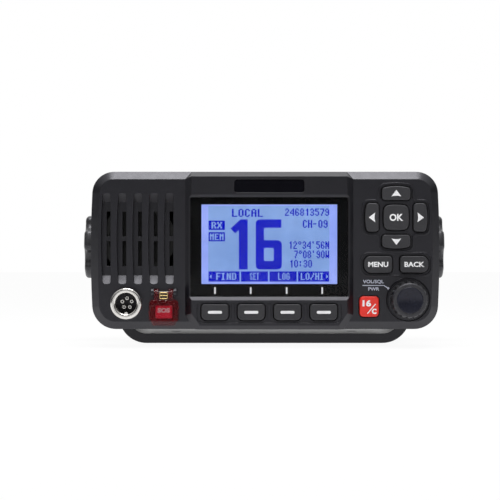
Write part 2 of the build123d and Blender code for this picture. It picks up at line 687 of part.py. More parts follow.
def front_bezel():
    body = chamfer(front_edges(prism(outline(), -BEZEL_D, 0)), BEVEL) + centre_block()
    body -= prism(outline(BEZEL_WALL), -BEZEL_D, -FACE_T)
    body += speaker_plate()
    for place in corner_places(CASE_SCREW_XS, CASE_SCREW_YS):
        body += place * prism(Circle(BEZEL_BOSS_R), -BEZEL_D, -FACE_T)
        body -= place * prism(Circle(CASE_SCREW_R + SEAT_FIT), -BEZEL_D, CASE_SCREW_GRIP - BEZEL_D)
    for x, y in POSTS:
        body += Pos(x, y) * prism(Circle(POST_R), -BOARD_FRONT, -FACE_T)
        body -= Pos(x, y) * prism(Circle(BOARD_SCREW_R + SEAT_FIT), -BOARD_FRONT,
                                  BOARD_SCREW_GRIP - BOARD_FRONT)
    for well in (cross_well, menu_well):
        body += prism(well(BEAD_W), 0, BEAD_H)
        body -= prism(well(), -WELL_FLOOR, BEAD_H)
    body -= Pos(*KNOB_AT) * prism(Circle(WELL_D / 2), -WELL_FLOOR, 0)
    body -= Pos(*KNOB_AT) * prism(Circle(ENCODER_NECK_R + RUN_FIT), -FACE_T, 0)
    body -= window_recess()
    body -= soft_key_tray()
    body -= prism(Pos(BLOCK_X, BADGE_Y) * RectangleRounded(BADGE_W, BADGE_H, BADGE_R),
                  BLOCK_H - BADGE_DEPTH, BLOCK_H)
    for _, hole, level in placed_keys(KEY_GAP):
        body -= prism(hole, -FACE_T, level + KEY_RISE)
    body -= Pos(*DISTRESS_AT) * prism(distress_outline(KEY_GAP), -FACE_T, 0)
    for x in GROOVE_XS:
        body -= Pos(x, GROOVE_Y) * groove()
        body -= Pos(x, GROOVE_Y) * slits()
    for x, y in speaker_screw_places():
        body -= Pos(x, y) * prism(Circle(BOARD_SCREW_R + SEAT_FIT), -SPEAKER_SEAT,
                                  SPEAKER_SCREW_GRIP - SPEAKER_SEAT)
    body -= Pos(*MIC_AT) * prism(Circle(MIC_NECK_R + SEAT_FIT), -FACE_T, 0)
    return body + hinge_ears()


# Display

def window_outline(grow=0.0):
    return RectangleRounded(WINDOW_W + 2 * grow, WINDOW_H + 2 * grow, WINDOW_R)


def display_window():
    return prism(Pos(BLOCK_X, WINDOW_Y) * window_outline(), WINDOW_BACK, WINDOW_FRONT)


def window_mask():
    """Black border behind the window, open over the lit area."""
    border = Pos(BLOCK_X, WINDOW_Y) * window_outline() - Pos(*VIEW_AT) * Rectangle(VIEW_W, VIEW_H)
    return prism(border, GLASS_FRONT, WINDOW_BACK)


def lcd_panel():
    return prism(Pos(*VIEW_AT) * Rectangle(GLASS_W, GLASS_H), GLASS_FRONT - GLASS_T, GLASS_FRONT)


def lcd_backlight():
    return prism(Pos(*VIEW_AT) * Rectangle(GLASS_W, GLASS_H), -BOARD_FRONT, GLASS_FRONT - GLASS_T)


def badge_plate():
    shape = RectangleRounded(BADGE_W - 2 * SEAT_FIT, BADGE_H - 2 * SEAT_FIT, BADGE_R)
    base = BLOCK_H - BADGE_DEPTH
    plate = prism(Pos(BLOCK_X, BADGE_Y) * shape, base, base + BADGE_T)
    return chamfer(front_edges(plate), BADGE_EDGE)


# Speaker

def at_speaker(solid):
    return Pos(*SPEAKER_AT) * solid


def speaker_screw_places():
    reach = (SPEAKER_R - SPEAKER_RIM / 2) / 2 ** 0.5
    x, y = SPEAKER_AT
    return [(x + a * reach, y + b * reach) for a in (-1, 1) for b in (-1, 1)]


def speaker_membrane():
    disc = Circle(SPEAKER_R - SPEAKER_RIM - SEAT_FIT)
    return at_speaker(prism(disc, -SPEAKER_SEAT - MEMBRANE_T, -SPEAKER_SEAT))


def speaker_frame():
    """Pressed basket: screwed rim, sloping wall and the plate that carries the magnet."""
    inner, rim = SPEAKER_R - SPEAKER_RIM, -SPEAKER_SEAT
    back = rim - SPEAKER_D
    basket = turned((inner, rim), (SPEAKER_R, rim), (SPEAKER_R, rim - BASKET_T),
                    (inner, rim - BASKET_T), (inner, rim - 2 * BASKET_T),
                    (MAGNET_R, back + BASKET_T), (MAGNET_R, back), (MAGNET_BORE_R, back),
                    (MAGNET_BORE_R, back + BASKET_T), (MAGNET_R - BASKET_T, back + BASKET_T),
                    (inner - BASKET_T, rim - 2 * BASKET_T), (inner - BASKET_T, rim - MEMBRANE_T),
                    (inner, rim - MEMBRANE_T))
    basket = at_speaker(basket)
    for x, y in speaker_screw_places():
        basket -= Pos(x, y) * prism(Circle(BOARD_SCREW_R + SEAT_FIT), rim - BASKET_T, rim)
    return basket


def speaker_cone():
    """Paper cone with a closed centre and a rim glued to the basket's inner edge."""
    seat, outer = -SPEAKER_SEAT - BASKET_T, SPEAKER_R - SPEAKER_RIM - BASKET_T - SEAT_FIT
    deep = seat - CONE_D
    return at_speaker(turned((0, deep), (CONE_EYE_R, deep), (outer - CONE_T, seat - CONE_T),
                             (outer, seat - CONE_T), (outer, seat), (outer - 2 * CONE_T, seat),
                             (CONE_EYE_R - CONE_T, deep + CONE_T), (0, deep + CONE_T)))


def speaker_magnet():
    back = -SPEAKER_SEAT - SPEAKER_D
    return at_speaker(prism(Circle(MAGNET_R), back - MAGNET_T, back))


def pan_screw(shank_r, head_r, head_t, grip):
    """Screw along z with its head's seat at zero and its shank towards the front."""
    head = chamfer(prism(Circle(head_r), -head_t, 0).edges().sort_by(Axis.Z)[0], head_t / 3)
    return head + prism(Circle(shank_r), 0, grip)


def speaker_screws():
    seat = -SPEAKER_SEAT - BASKET_T
    grip = BASKET_T + SPEAKER_SCREW_GRIP
    screw = pan_screw(BOARD_SCREW_R, SPEAKER_RIM / 2, BOARD_SCREW_HEAD_T, grip)
    return [Pos(x, y, seat) * screw for x, y in speaker_screw_places()]


# Microphone socket

def at_mic(solid):
    return Pos(*MIC_AT) * solid


def mic_socket_shell():
    """Plated collar with a neck through the panel and a guide key in its bore."""
    neck_back = -FACE_T - MIC_NECK_L
    collar = fillet(front_edges(tube(MIC_SHELL_R, MIC_BORE_R, 0, MIC_PROUD)), MIC_EDGE_R)
    key = Pos(0, -MIC_BORE_R) * prism(Circle(MIC_KEY_R), -MIC_FLOOR, MIC_PROUD - MIC_EDGE_R)
    key &= prism(Circle(MIC_NECK_R), -MIC_FLOOR, MIC_PROUD)
    return at_mic(collar + tube(MIC_NECK_R, MIC_BORE_R, neck_back, 0) + key)


def pin_places():
    angles = [radians(90 + n * 360 / PIN_COUNT) for n in range(PIN_COUNT)]
    return [Pos(PIN_CIRCLE_R * cos(a), PIN_CIRCLE_R * sin(a)) for a in angles]


def mic_socket_insert():
    insert = prism(Circle(MIC_BORE_R - SEAT_FIT), -FACE_T - MIC_NECK_L, -MIC_FLOOR)
    for place in pin_places():
        insert -= place * prism(Circle(PIN_R + SEAT_FIT), -FACE_T - MIC_NECK_L, -MIC_FLOOR)
    return at_mic(insert)


def mic_socket_pins():
    """Contact tubes, open at the front, that stand a little out of the insert."""
    tip = PIN_PROUD - MIC_FLOOR
    pin = prism(Circle(PIN_R), -FACE_T - MIC_NECK_L - PIN_TAIL, tip)
    pin = chamfer(front_edges(pin), PIN_EDGE) - prism(Circle(PIN_BORE_R), tip - PIN_BORE_L, tip)
    return [at_mic(place * pin) for place in pin_places()]


def mic_socket_nut():
    shape = RegularPolygon(MIC_NUT_R, 6) - Circle(MIC_NECK_R + SEAT_FIT)
    return at_mic(prism(shape, -FACE_T - MIC_NUT_T, -FACE_T))


# Distress switch

def across_hinge(radius, width):
    """Cylinder along the cover's hinge axis, centred on the cover."""
    return Pos(COVER_X, HINGE_Y, HINGE_HEIGHT) * Rot(0, 90, 0) * Cylinder(radius, width)


def distress_cover():
    """Hollow flap with a finger lip below and two knuckles above."""
    shell = prism(RectangleRounded(COVER_W, COVER_H, COVER_R), COVER_LIFT, COVER_TOP)
    shell = fillet(front_edges(shell), COVER_WALL)
    lip_y = -COVER_H / 2 - COVER_LIP_H + COVER_R
    lip = Pos(0, lip_y) * RectangleRounded(COVER_LIP_W, 2 * COVER_R, COVER_WALL)
    body = shell + prism(lip, COVER_LIFT, COVER_LIFT + COVER_LIP_T)
    hollow = RectangleRounded(COVER_W - 2 * COVER_WALL, COVER_H - 2 * COVER_WALL, COVER_R - COVER_WALL)
    body -= prism(hollow, COVER_LIFT, COVER_TOP - COVER_WALL)
    body = Pos(COVER_X, COVER_Y) * body
    arm_l = HINGE_ABOVE_COVER + COVER_WALL / 2
    for x in (COVER_X - KNUCKLE_X, COVER_X + KNUCKLE_X):
        arm = Pos(x, HINGE_Y - arm_l / 2) * Rectangle(KNUCKLE_W, arm_l)
        body += prism(arm, HINGE_HEIGHT - KNUCKLE_R, HINGE_HEIGHT + KNUCKLE_R - COVER_LIFT)
        body += Pos(x, HINGE_Y, HINGE_HEIGHT) * Rot(0, 90, 0) * Cylinder(KNUCKLE_R, KNUCKLE_W)
    return body - across_hinge(HINGE_PIN_R + RUN_FIT, COVER_W)


def cover_hinge_pin():
    return across_hinge(HINGE_PIN_R, 2 * EAR_X + EAR_W)


def wire(path):
    """Round wire of the spring along a path."""
    return sweep(Plane(path @ 0, z_dir=path % 0) * Circle(SPRING_WIRE_R), path=path)


def cover_spring():
    """Wire loop over the hinge pin, with a cross bar and two feet that stand on the panel."""
    half = KNUCKLE_SPACE / 2 - 2 * SPRING_WIRE_R
    front = HINGE_PIN_R + RUN_FIT + SPRING_WIRE_R
    loop = FilletPolyline((half, 0, front), (half, -SPRING_LOOP_L, front), (-half, -SPRING_LOOP_L, front),
                          (-half, 0, front), radius=SPRING_BEND_R, close=True)
    spring = wire(loop) + wire(Line((-half, -SPRING_BAR_AT, front), (half, -SPRING_BAR_AT, front)))
    for x in (-half, half):
        foot = Line((x, -SPRING_BAR_AT, front), (x, -SPRING_BAR_AT, FACE_GAP - HINGE_HEIGHT))
        spring += wire(foot)
    return Pos(COVER_X, HINGE_Y, HINGE_HEIGHT) * spring


def distress_button():
    flange = distress_outline(KEY_GAP + KEY_FLANGE)
    return Pos(*DISTRESS_AT) * key_piece(distress_outline(0), flange, DISTRESS_TOP - KEY_RISE)


# Volume control

def at_knob(solid):
    return Pos(*KNOB_AT) * solid


def volume_knob():
    """Tapered grip with flutes on a plain skirt, hollow round the encoder's neck."""
    base, front = FACE_GAP, FACE_GAP + VOLUME_KNOB_L
    step = base + VOLUME_SKIRT_H
    skirt_r = WELL_D / 2 - VOLUME_SKIRT_GAP
    grip = loft([Pos(0, 0, step) * Circle(VOLUME_KNOB_R),
                 Pos(0, 0, front) * Circle(VOLUME_KNOB_R - VOLUME_TAPER)])
    grip = fillet(front_edges(grip), VOLUME_FLUTE_R)
    for n in range(VOLUME_FLUTES):
        flute = Pos(VOLUME_KNOB_R, 0) * prism(Circle(VOLUME_FLUTE_R), step, front)
        grip -= Rot(0, 0, n * 360 / VOLUME_FLUTES) * flute
    body = grip + prism(Circle(skirt_r), base, step)
    body -= prism(Circle(VOLUME_KNOB_R - VOLUME_TAPER - VOLUME_SHELL), base, base + VOLUME_HOLLOW)
    body -= prism(Circle(ENCODER_SHAFT_R + SEAT_FIT), base, base + VOLUME_HOLLOW + SHAFT_IN_KNOB)
    recess = prism(Circle(VOLUME_CAP_R + SEAT_FIT), front - VOLUME_CAP_T + VOLUME_CAP_PROUD, front)
    return at_knob(body - recess)


def volume_knob_cap():
    """Glossy cap with a dished finger rest."""
    base = FACE_GAP + VOLUME_KNOB_L - VOLUME_CAP_T + VOLUME_CAP_PROUD
    rim = base + VOLUME_CAP_T
    cap = fillet(front_edges(prism(Circle(VOLUME_CAP_R), base, rim)), VOLUME_CAP_PROUD)
    reach = VOLUME_CAP_R - VOLUME_CAP_PROUD
    ball_r = (reach ** 2 + VOLUME_DISH ** 2) / (2 * VOLUME_DISH)
    return at_knob(cap - Pos(0, 0, rim - VOLUME_DISH + ball_r) * Sphere(ball_r))


def encoder_shaft():
    top = FACE_GAP + VOLUME_HOLLOW + SHAFT_IN_KNOB
    shaft = prism(Circle(ENCODER_SHAFT_R), PLUNGER_FRONT + FACE_GAP, top)
    return at_knob(chamfer(front_edges(shaft), SHAFT_EDGE))


def encoder_plunger():
    return at_knob(prism(Circle(ENCODER_SHAFT_R - RUN_FIT), PLUNGER_FRONT - PLUNGER_T, PLUNGER_FRONT))


def encoder_body():
    """Square housing on the board, with a round neck through the panel."""
    square = RectangleRounded(ENCODER_BODY, ENCODER_BODY, ENCODER_BACK_T)
    housing = prism(square, -BOARD_FRONT, -FACE_T)
    neck = prism(Circle(ENCODER_NECK_R), -FACE_T, ENCODER_NECK_TOP)
    bore = prism(Circle(ENCODER_SHAFT_R + RUN_FIT), ENCODER_BACK_T - BOARD_FRONT, ENCODER_NECK_TOP)
    return at_knob(housing + neck - bore)


# Key board

def board_area(inset):
    """Area of the boards behind the panel: a rectangle with a tongue behind the distress button."""
    left, right = BLOCK_LEFT, RIGHT - SIDE_BOW - BEZEL_WALL - BOARD_MARGIN
    height = PANEL_H - 2 * BEZEL_WALL - 2 * BOARD_MARGIN
    area = Pos((left + right) / 2, 0) * Rectangle(right - left - 2 * inset, height - 2 * inset)
    tongue_left = COVER_X - COVER_W / 2
    tongue_top = DISTRESS_AT[1] + DISTRESS_H
    tongue = Rectangle(BLOCK_X - tongue_left - 2 * inset, height / 2 + tongue_top - 2 * inset)
    area += Pos((tongue_left + BLOCK_X) / 2, (tongue_top - height / 2) / 2) * tongue
    notch = 2 * (BEZEL_BOSS_R + BOARD_MARGIN)
    for place in corner_places(CASE_SCREW_XS, CASE_SCREW_YS):
        area -= place * Rectangle(notch, notch)
    return area


def key_board():
    board = prism(board_area(0), -BOARD_BACK, -BOARD_FRONT)
    for x, y in POSTS:
        board -= Pos(x, y) * prism(Circle(BOARD_SCREW_R + SEAT_FIT), -BOARD_BACK, -BOARD_FRONT)
    plug = Rectangle(RIBBON_W, PLUG_H)
    return board + Pos(0, PLUG_Y) * prism(plug, -BOARD_BACK - PLUG_D, -BOARD_BACK)


def keypad_mat():
    """Silicone mat on the key board, with a stud behind each key."""
    mat = prism(board_area(MAT_INSET), -BOARD_FRONT, MAT_T - BOARD_FRONT)
    glass = Pos(*VIEW_AT) * Rectangle(GLASS_W + 2 * MAT_INSET, GLASS_H + 2 * MAT_INSET)
    encoder_w = ENCODER_BODY + 2 * MAT_INSET
    cut = glass + Pos(*KNOB_AT) * Rectangle(encoder_w, encoder_w)
    for x, y in POSTS:
        cut += Pos(x, y) * Circle(POST_R + MAT_INSET)
    mat -= prism(cut, -BOARD_FRONT, MAT_T - BOARD_FRONT)
    stud_top = -FACE_T - KEY_FLANGE_T - KEY_TRAVEL - STUD_CLEARANCE
    stud = prism(Circle(MAT_STUD_R), MAT_T - BOARD_FRONT, stud_top)
    for _, shape, _ in placed_keys():
        centre = shape.center(CenterOf.BOUNDING_BOX)
        mat += Pos(centre.X, centre.Y) * stud
    low_stud = prism(Circle(MAT_STUD_R), MAT_T - BOARD_FRONT, stud_top + KEY_TRAVEL - DISTRESS_TRAVEL)
    return mat + Pos(*DISTRESS_AT) * low_stud


def board_screws():
    grip = BOARD_T + BOARD_SCREW_GRIP
    screw = pan_screw(BOARD_SCREW_R, BOARD_SCREW_HEAD_R, BOARD_SCREW_HEAD_T, grip)
    screws = [Pos(x, y, -BOARD_BACK) * screw for x, y in POSTS]
    return screws + [STANDING * Pos(*place, STANDOFF_TOP + BOARD_T) * Rot(180, 0, 0) * screw
                     for place in standoff_places()]


# Rear chassis and what it holds; standing pieces are drawn in plan: across, back and up

def standoff_places():
    """Plan places of the main board's screws: across, and back from the panel's face."""
    half_w = MAIN_BOARD_W / 2 - STANDOFF_INSET
    front, back = STANDOFF_INSET - MAIN_BOARD_FRONT, -MAIN_BOARD_BACK - STANDOFF_INSET
    return [(x, y) for x in (-half_w, half_w) for y in (front, back)]


def chassis_gasket():
    return prism(outline(GASKET_INSET) - outline(BEZEL_WALL - GASKET_INSET), GASKET_BACK, -BEZEL_D)


def case_screws():
    grip = FLANGE_T + GASKET_T + CASE_SCREW_GRIP
    screw = pan_screw(CASE_SCREW_R, CASE_SCREW_HEAD_R, CASE_SCREW_HEAD_T, grip)
    places = corner_places(CASE_SCREW_XS, CASE_SCREW_YS)
    return [place * Pos(0, 0, FLANGE_BACK) * screw for place in places]


def cooling_fins():
    """Tapered upright fins over the upper part of the rear wall."""
    pitch = (CHASSIS_W - 2 * CHASSIS_R) / (FIN_COUNT - 1)
    fin = extrude(Rectangle(FIN_T, FIN_ZONE_H), FIN_D, dir=(0, 0, -1), taper=FIN_DRAFT)
    y = CHASSIS_H / 2 - FIN_ZONE_H / 2 - FIN_T
    return [Pos((n - (FIN_COUNT - 1) / 2) * pitch, y, CHASSIS_BACK) * fin for n in range(FIN_COUNT)]


def top_ribs():
    """Low ribs along the chassis roof."""
    pitch = (CHASSIS_W - 2 * CHASSIS_R) / (TOP_RIB_COUNT - 1)
    middle = (CHASSIS_BACK + FLANGE_BACK) / 2
    rib = Box(FIN_T, 2 * TOP_RIB_H, TOP_RIB_L)
    xs = [(n - (TOP_RIB_COUNT - 1) / 2) * pitch for n in range(TOP_RIB_COUNT)]
    return [Pos(x, CHASSIS_H / 2, middle) * rib for x in xs]


def rear_chassis():
    """Cast housing: screwed flange, box with cooling fins, and side bosses for the clamp screws."""
    body = prism(outline(FLANGE_INSET), FLANGE_BACK, GASKET_BACK)
    body += prism(RectangleRounded(CHASSIS_W, CHASSIS_H, CHASSIS_R), CHASSIS_BACK, GASKET_BACK)
    at_axis = Pos(0, TILT_RISE, -PANEL_REACH) * Rot(0, 90, 0)
    body += at_axis * Cylinder(BOSS_R, 2 * BOSS_FACE)
    cavity = RectangleRounded(CAVITY_W, CAVITY_H, CHASSIS_R - CHASSIS_WALL)
    body -= prism(cavity, CAVITY_BACK, GASKET_BACK)
    body += cooling_fins()
    body += top_ribs()
    inner_l = INSERT_L - BOSS_RISE - CHASSIS_WALL
    for side in (-1, 1):
        centre = side * (CAVITY_W / 2 - inner_l / 2)
        body += Pos(centre, TILT_RISE, -PANEL_REACH) * Rot(0, 90, 0) * Cylinder(BOSS_INNER_R, inner_l)
    body -= at_axis * Cylinder(INSERT_R + SEAT_FIT, 2 * BOSS_FACE)
    for place in corner_places(CASE_SCREW_XS, CASE_SCREW_YS):
        body -= place * prism(Circle(CASE_SCREW_R + SEAT_FIT), FLANGE_BACK, GASKET_BACK)
    for place in standoff_places():
        body += STANDING * Pos(*place) * prism(Circle(STANDOFF_R), -CAVITY_H / 2, STANDOFF_TOP)
        body -= STANDING * Pos(*place) * prism(Circle(BOARD_SCREW_R + SEAT_FIT),
                                               STANDOFF_TOP - BOARD_SCREW_GRIP, STANDOFF_TOP)
    for x, radius in ((SOCKET_X, SOCKET_NECK_R), (POWER_X, GLAND_R), (DATA_X, GLAND_R * DATA_SCALE)):
        hole = Circle(radius + SEAT_FIT)
        body -= Pos(x, CONNECTOR_Y) * prism(hole, CHASSIS_BACK, CAVITY_BACK)
    return body


def main_board():
    length = MAIN_BOARD_FRONT - MAIN_BOARD_BACK
    plan = Pos(0, -(MAIN_BOARD_FRONT + MAIN_BOARD_BACK) / 2) * Rectangle(MAIN_BOARD_W, length)
    board = prism(plan, STANDOFF_TOP, STANDOFF_TOP + BOARD_T)
    hole = Circle(BOARD_SCREW_R + SEAT_FIT)
    for place in standoff_places():
        board -= Pos(*place) * prism(hole, STANDOFF_TOP, STANDOFF_TOP + BOARD_T)
    plug = Pos(0, PLUG_D / 2 - MAIN_BOARD_FRONT) * Rectangle(RIBBON_W, PLUG_D)
    return STANDING * (board + prism(plug, STANDOFF_TOP + BOARD_T, STANDOFF_TOP + BOARD_T + PLUG_H))


def rf_shield():
    """Thin screening can over the receiver, open towards the board."""
    centre = -(MAIN_BOARD_FRONT + MAIN_BOARD_BACK) / 2
    low = STANDOFF_TOP + BOARD_T
    can = prism(Rectangle(SHIELD_W, SHIELD_D), low, low + SHIELD_H)
    inside = Rectangle(SHIELD_W - 2 * SHIELD_T, SHIELD_D - 2 * SHIELD_T)
    can -= prism(inside, low, low + SHIELD_H - SHIELD_T)
    return STANDING * Pos(0, centre) * can


def power_module():
    """Transmitter module on the main board, against the finned wall."""
    low = STANDOFF_TOP + BOARD_T
    plan = Pos(0, -CAVITY_BACK - MODULE_D / 2) * Rectangle(MODULE_W, MODULE_D)
    return STANDING * prism(plan, low, low + MODULE_H)


def ribbon_cable():
    """Flat cable from the key board's plug to the main board's plug."""
    start = BOARD_BACK + PLUG_D
    end = -MAIN_BOARD_FRONT
    low = STANDOFF_TOP + BOARD_T + PLUG_H / 2
    middle = (start + end) / 2
    path = FilletPolyline((start, PLUG_Y), (middle, PLUG_Y), (middle, low), (end, low), radius=PLUG_D / 2)
    strip = Plane.YZ * trace(path, RIBBON_T)
    return STANDING * extrude(strip, RIBBON_W / 2 - RIBBON_T, both=True)


# Connectors on the rear wall

def at_rear(x, solid):
    """Place a solid, drawn with z pointing away from the rear wall, on that wall."""
    return Pos(x, CONNECTOR_Y, CHASSIS_BACK) * Rot(180, 0, 0) * solid


def antenna_socket():
    """Coaxial panel socket: square flange, threaded barrel and a neck through the wall."""
    flange = prism(RectangleRounded(SOCKET_FLANGE, SOCKET_FLANGE, SOCKET_FLANGE_T), 0, SOCKET_FLANGE_T)
    barrel = prism(Circle(SOCKET_R), SOCKET_FLANGE_T, SOCKET_FLANGE_T + SOCKET_L)
    barrel = chamfer(front_edges(barrel), SOCKET_EDGE)
    neck = prism(Circle(SOCKET_NECK_R), -CHASSIS_WALL, 0)
    bore = prism(Circle(SOCKET_BORE_R), -CHASSIS_WALL, SOCKET_FLANGE_T + SOCKET_L)
    return at_rear(SOCKET_X, flange + barrel + neck - bore)


def antenna_insulator():
    end = SOCKET_FLANGE_T + SOCKET_L - INSULATOR_SINK
    return at_rear(SOCKET_X, tube(SOCKET_BORE_R - SEAT_FIT, CONTACT_R + SEAT_FIT, -CHASSIS_WALL, end))


def antenna_contact():
    end = SOCKET_FLANGE_T + SOCKET_L - INSULATOR_SINK
    pin = prism(Circle(CONTACT_R), -CHASSIS_WALL - PIN_TAIL, end)
    return at_rear(SOCKET_X, pin - prism(Circle(CONTACT_BORE_R), 0, end))


def gland(scale):
    """Stepped rubber grommet for a cable, with a blind bore."""
    outer, bore = GLAND_R * scale, GLAND_BORE_R * scale
    length = GLAND_L * scale
    body = prism(Circle(outer), -CHASSIS_WALL, 0) + prism(Circle(outer + GLAND_STEP), 0, GLAND_STEP)
    body += loft([Pos(0, 0, GLAND_STEP) * Circle(outer), Pos(0, 0, length) * Circle(bore + GLAND_STEP)])
    return body - prism(Circle(bore), 0, length)


def power_gland():
    return at_rear(POWER_X, gland(1))


def data_gland():
    return at_rear(DATA_X, gland(DATA_SCALE))


def save(name, *solids):
    """Write one sub-part, made of one or more separate solids."""
    part = solids[0] if len(solids) == 1 else Compound(children=[Part() + solid for solid in solids])
    export_step(part, os.path.join("parts", name + ".step"))


def main():
    os.makedirs("parts", exist_ok=True)
    save("gimbal_bracket", gimbal_bracket())
    save("side_inserts", *on_both(side_insert()).solids())
    save("arm_pads", *on_both(arm_pad()).solids())
    for side, place in (("left", on_left), ("right", on_right)):
        save(side + "_clamp_knob", place(clamp_knob()))
        save(side + "_clamp_screw", place(clamp_screw()))
        save(side + "_clamp_washer", place(clamp_washer()))
    for (name, shape, level), (_, flange, _) in zip(placed_keys(), placed_keys(KEY_GAP + KEY_FLANGE)):
        save(name, PANEL * key_piece(shape, flange, level))
    for piece in (front_bezel, display_window, window_mask, lcd_panel, lcd_backlight, badge_plate,
                  speaker_membrane, speaker_frame, speaker_cone, speaker_magnet, mic_socket_shell,
                  mic_socket_insert, mic_socket_nut, distress_cover, cover_hinge_pin, cover_spring,
                  distress_button, volume_knob, volume_knob_cap, encoder_shaft, encoder_plunger,
                  encoder_body, key_board, keypad_mat, rear_chassis, chassis_gasket, main_board,
                  rf_shield, power_module, ribbon_cable, antenna_socket, antenna_insulator,
                  antenna_contact, power_gland, data_gland):
        save(piece.__name__, PANEL * piece())
    for group in (speaker_screws, mic_socket_pins, board_screws, case_screws):
        save(group.__name__, *[PANEL * solid for solid in group()])


main()
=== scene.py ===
import json
import math

import bmesh
import bpy
from mathutils import Matrix, Vector


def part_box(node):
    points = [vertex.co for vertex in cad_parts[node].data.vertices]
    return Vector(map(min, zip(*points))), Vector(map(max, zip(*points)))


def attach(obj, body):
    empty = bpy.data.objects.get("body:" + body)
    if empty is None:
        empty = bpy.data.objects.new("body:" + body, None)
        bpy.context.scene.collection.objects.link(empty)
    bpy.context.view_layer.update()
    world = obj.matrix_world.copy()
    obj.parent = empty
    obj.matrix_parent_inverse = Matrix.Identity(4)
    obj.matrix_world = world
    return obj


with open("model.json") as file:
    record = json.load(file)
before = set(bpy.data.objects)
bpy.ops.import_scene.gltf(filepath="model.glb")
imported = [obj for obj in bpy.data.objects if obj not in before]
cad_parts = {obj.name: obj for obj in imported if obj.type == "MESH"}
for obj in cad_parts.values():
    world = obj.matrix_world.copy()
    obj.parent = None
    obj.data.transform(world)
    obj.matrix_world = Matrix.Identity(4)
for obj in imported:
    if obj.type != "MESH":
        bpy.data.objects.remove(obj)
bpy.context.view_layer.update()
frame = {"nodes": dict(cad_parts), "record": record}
NODES = frame["nodes"]
MM = 0.001

# Panel frame: x across and y up from the panel's centre, z the height above its face, in millimetres
FACE_DEPTH = 74.0
PANEL_CENTRE_Z = 47.7
PANEL = Matrix(((MM, 0, 0, 0), (0, 0, -MM, -FACE_DEPTH * MM), (0, MM, 0, PANEL_CENTRE_Z * MM), (0, 0, 0, 1)))


def add(name, data):
    """New object in the scene."""
    obj = bpy.data.objects.new(name, data)
    bpy.context.scene.collection.objects.link(obj)
    return obj


# Nodes of materials and of the world; sizes are in metres

# Middle part of a noise's values, which holds most of them
NOISE_LOW, NOISE_HIGH = 0.3, 0.7


def set_inputs(node, values):
    for name, value in values.items():
        node.inputs[name].default_value = value


def feed(tree, socket, value):
    """Link a socket to an input, or set a number or colour on it."""
    if isinstance(value, bpy.types.NodeSocket):
        tree.links.new(value, socket)
    else:
        socket.default_value = (*value, 1) if socket.type == "RGBA" else value


def graph(name):
    """New material with its node tree, its Principled shader and object coordinates."""
    material = bpy.data.materials.new(name)
    material.use_nodes = True
    tree = material.node_tree
    shader = tree.nodes["Principled BSDF"]
    place = tree.nodes.new("ShaderNodeTexCoord").outputs["Object"]
    return material, tree, shader, place


def mapped(tree, place, setting, value):
    """Coordinates after one setting of a mapping."""
    node = tree.nodes.new("ShaderNodeMapping")
    node.inputs[setting].default_value = value
    tree.links.new(place, node.inputs["Vector"])
    return node.outputs["Vector"]


def noise(tree, place, size, detail, stretch=None):
    """Noise whose features are about a size across."""
    node = tree.nodes.new("ShaderNodeTexNoise")
    set_inputs(node, {"Scale": 1 / size, "Detail": detail})
    if stretch:
        place = mapped(tree, place, "Scale", stretch)
    tree.links.new(place, node.inputs["Vector"])
    return node.outputs["Fac"]


def span(tree, value, low, high, start=NOISE_LOW, end=NOISE_HIGH):
    """Value between start and end spread over low to high."""
    node = tree.nodes.new("ShaderNodeMapRange")
    set_inputs(node, {"From Min": start, "From Max": end, "To Min": low, "To Max": high})
    tree.links.new(value, node.inputs["Value"])
    return node.outputs["Result"]


def mixed(tree, amount, first, second):
    """Colour from first to second by an amount; either may be a colour or a socket."""
    node = tree.nodes.new("ShaderNodeMix")
    node.data_type = "RGBA"
    tree.links.new(amount, node.inputs["Factor"])
    for value, name in ((first, "A"), (second, "B")):
        feed(tree, [s for s in node.inputs if s.name == name and s.type == "RGBA"][0], value)
    return [s for s in node.outputs if s.type == "RGBA"][0]


def computed(tree, operation, first, second, clamp=False):
    """Result of a Math node's operation; the second value may be a number or a socket."""
    node = tree.nodes.new("ShaderNodeMath")
    node.operation = operation
    node.use_clamp = clamp
    tree.links.new(first, node.inputs[0])
    feed(tree, node.inputs[1], second)
    return node.outputs[0]


def bumped(tree, height, strength, distance, normal=None):
    """Normal of a surface with a relief, on top of another normal if there is one."""
    node = tree.nodes.new("ShaderNodeBump")
    set_inputs(node, {"Strength": strength, "Distance": distance})
    tree.links.new(height, node.inputs["Height"])
    if normal:
        tree.links.new(normal, node.inputs["Normal"])
    return node.outputs["Normal"]


def tint(colour, factor):
    return tuple(min(1.0, c * factor) for c in colour)


# Materials

PLAIN_GLOSS, COOL_GLOSS = (1, 1, 1, 1), (0.93, 0.92, 1.0, 1)
COAT_ROUGHNESS = 0.08
# Size and detail of a noise
CLOUDS, PATCHES, GRAIN_DETAIL = (0.012, 4.0), (0.004, 3.0), 2.0
# Pointiness of an edge that starts to wear and of one that is fully worn
WORN_LOW, WORN_HIGH = 0.51, 0.58
DARK_COLOUR, WORN_DARK_TINT, WORN_PALE = 0.3, 2.5, (0.9, 0.9, 0.9)
BEVEL_SAMPLES = 4
GRAIN_RELIEF = 0.25


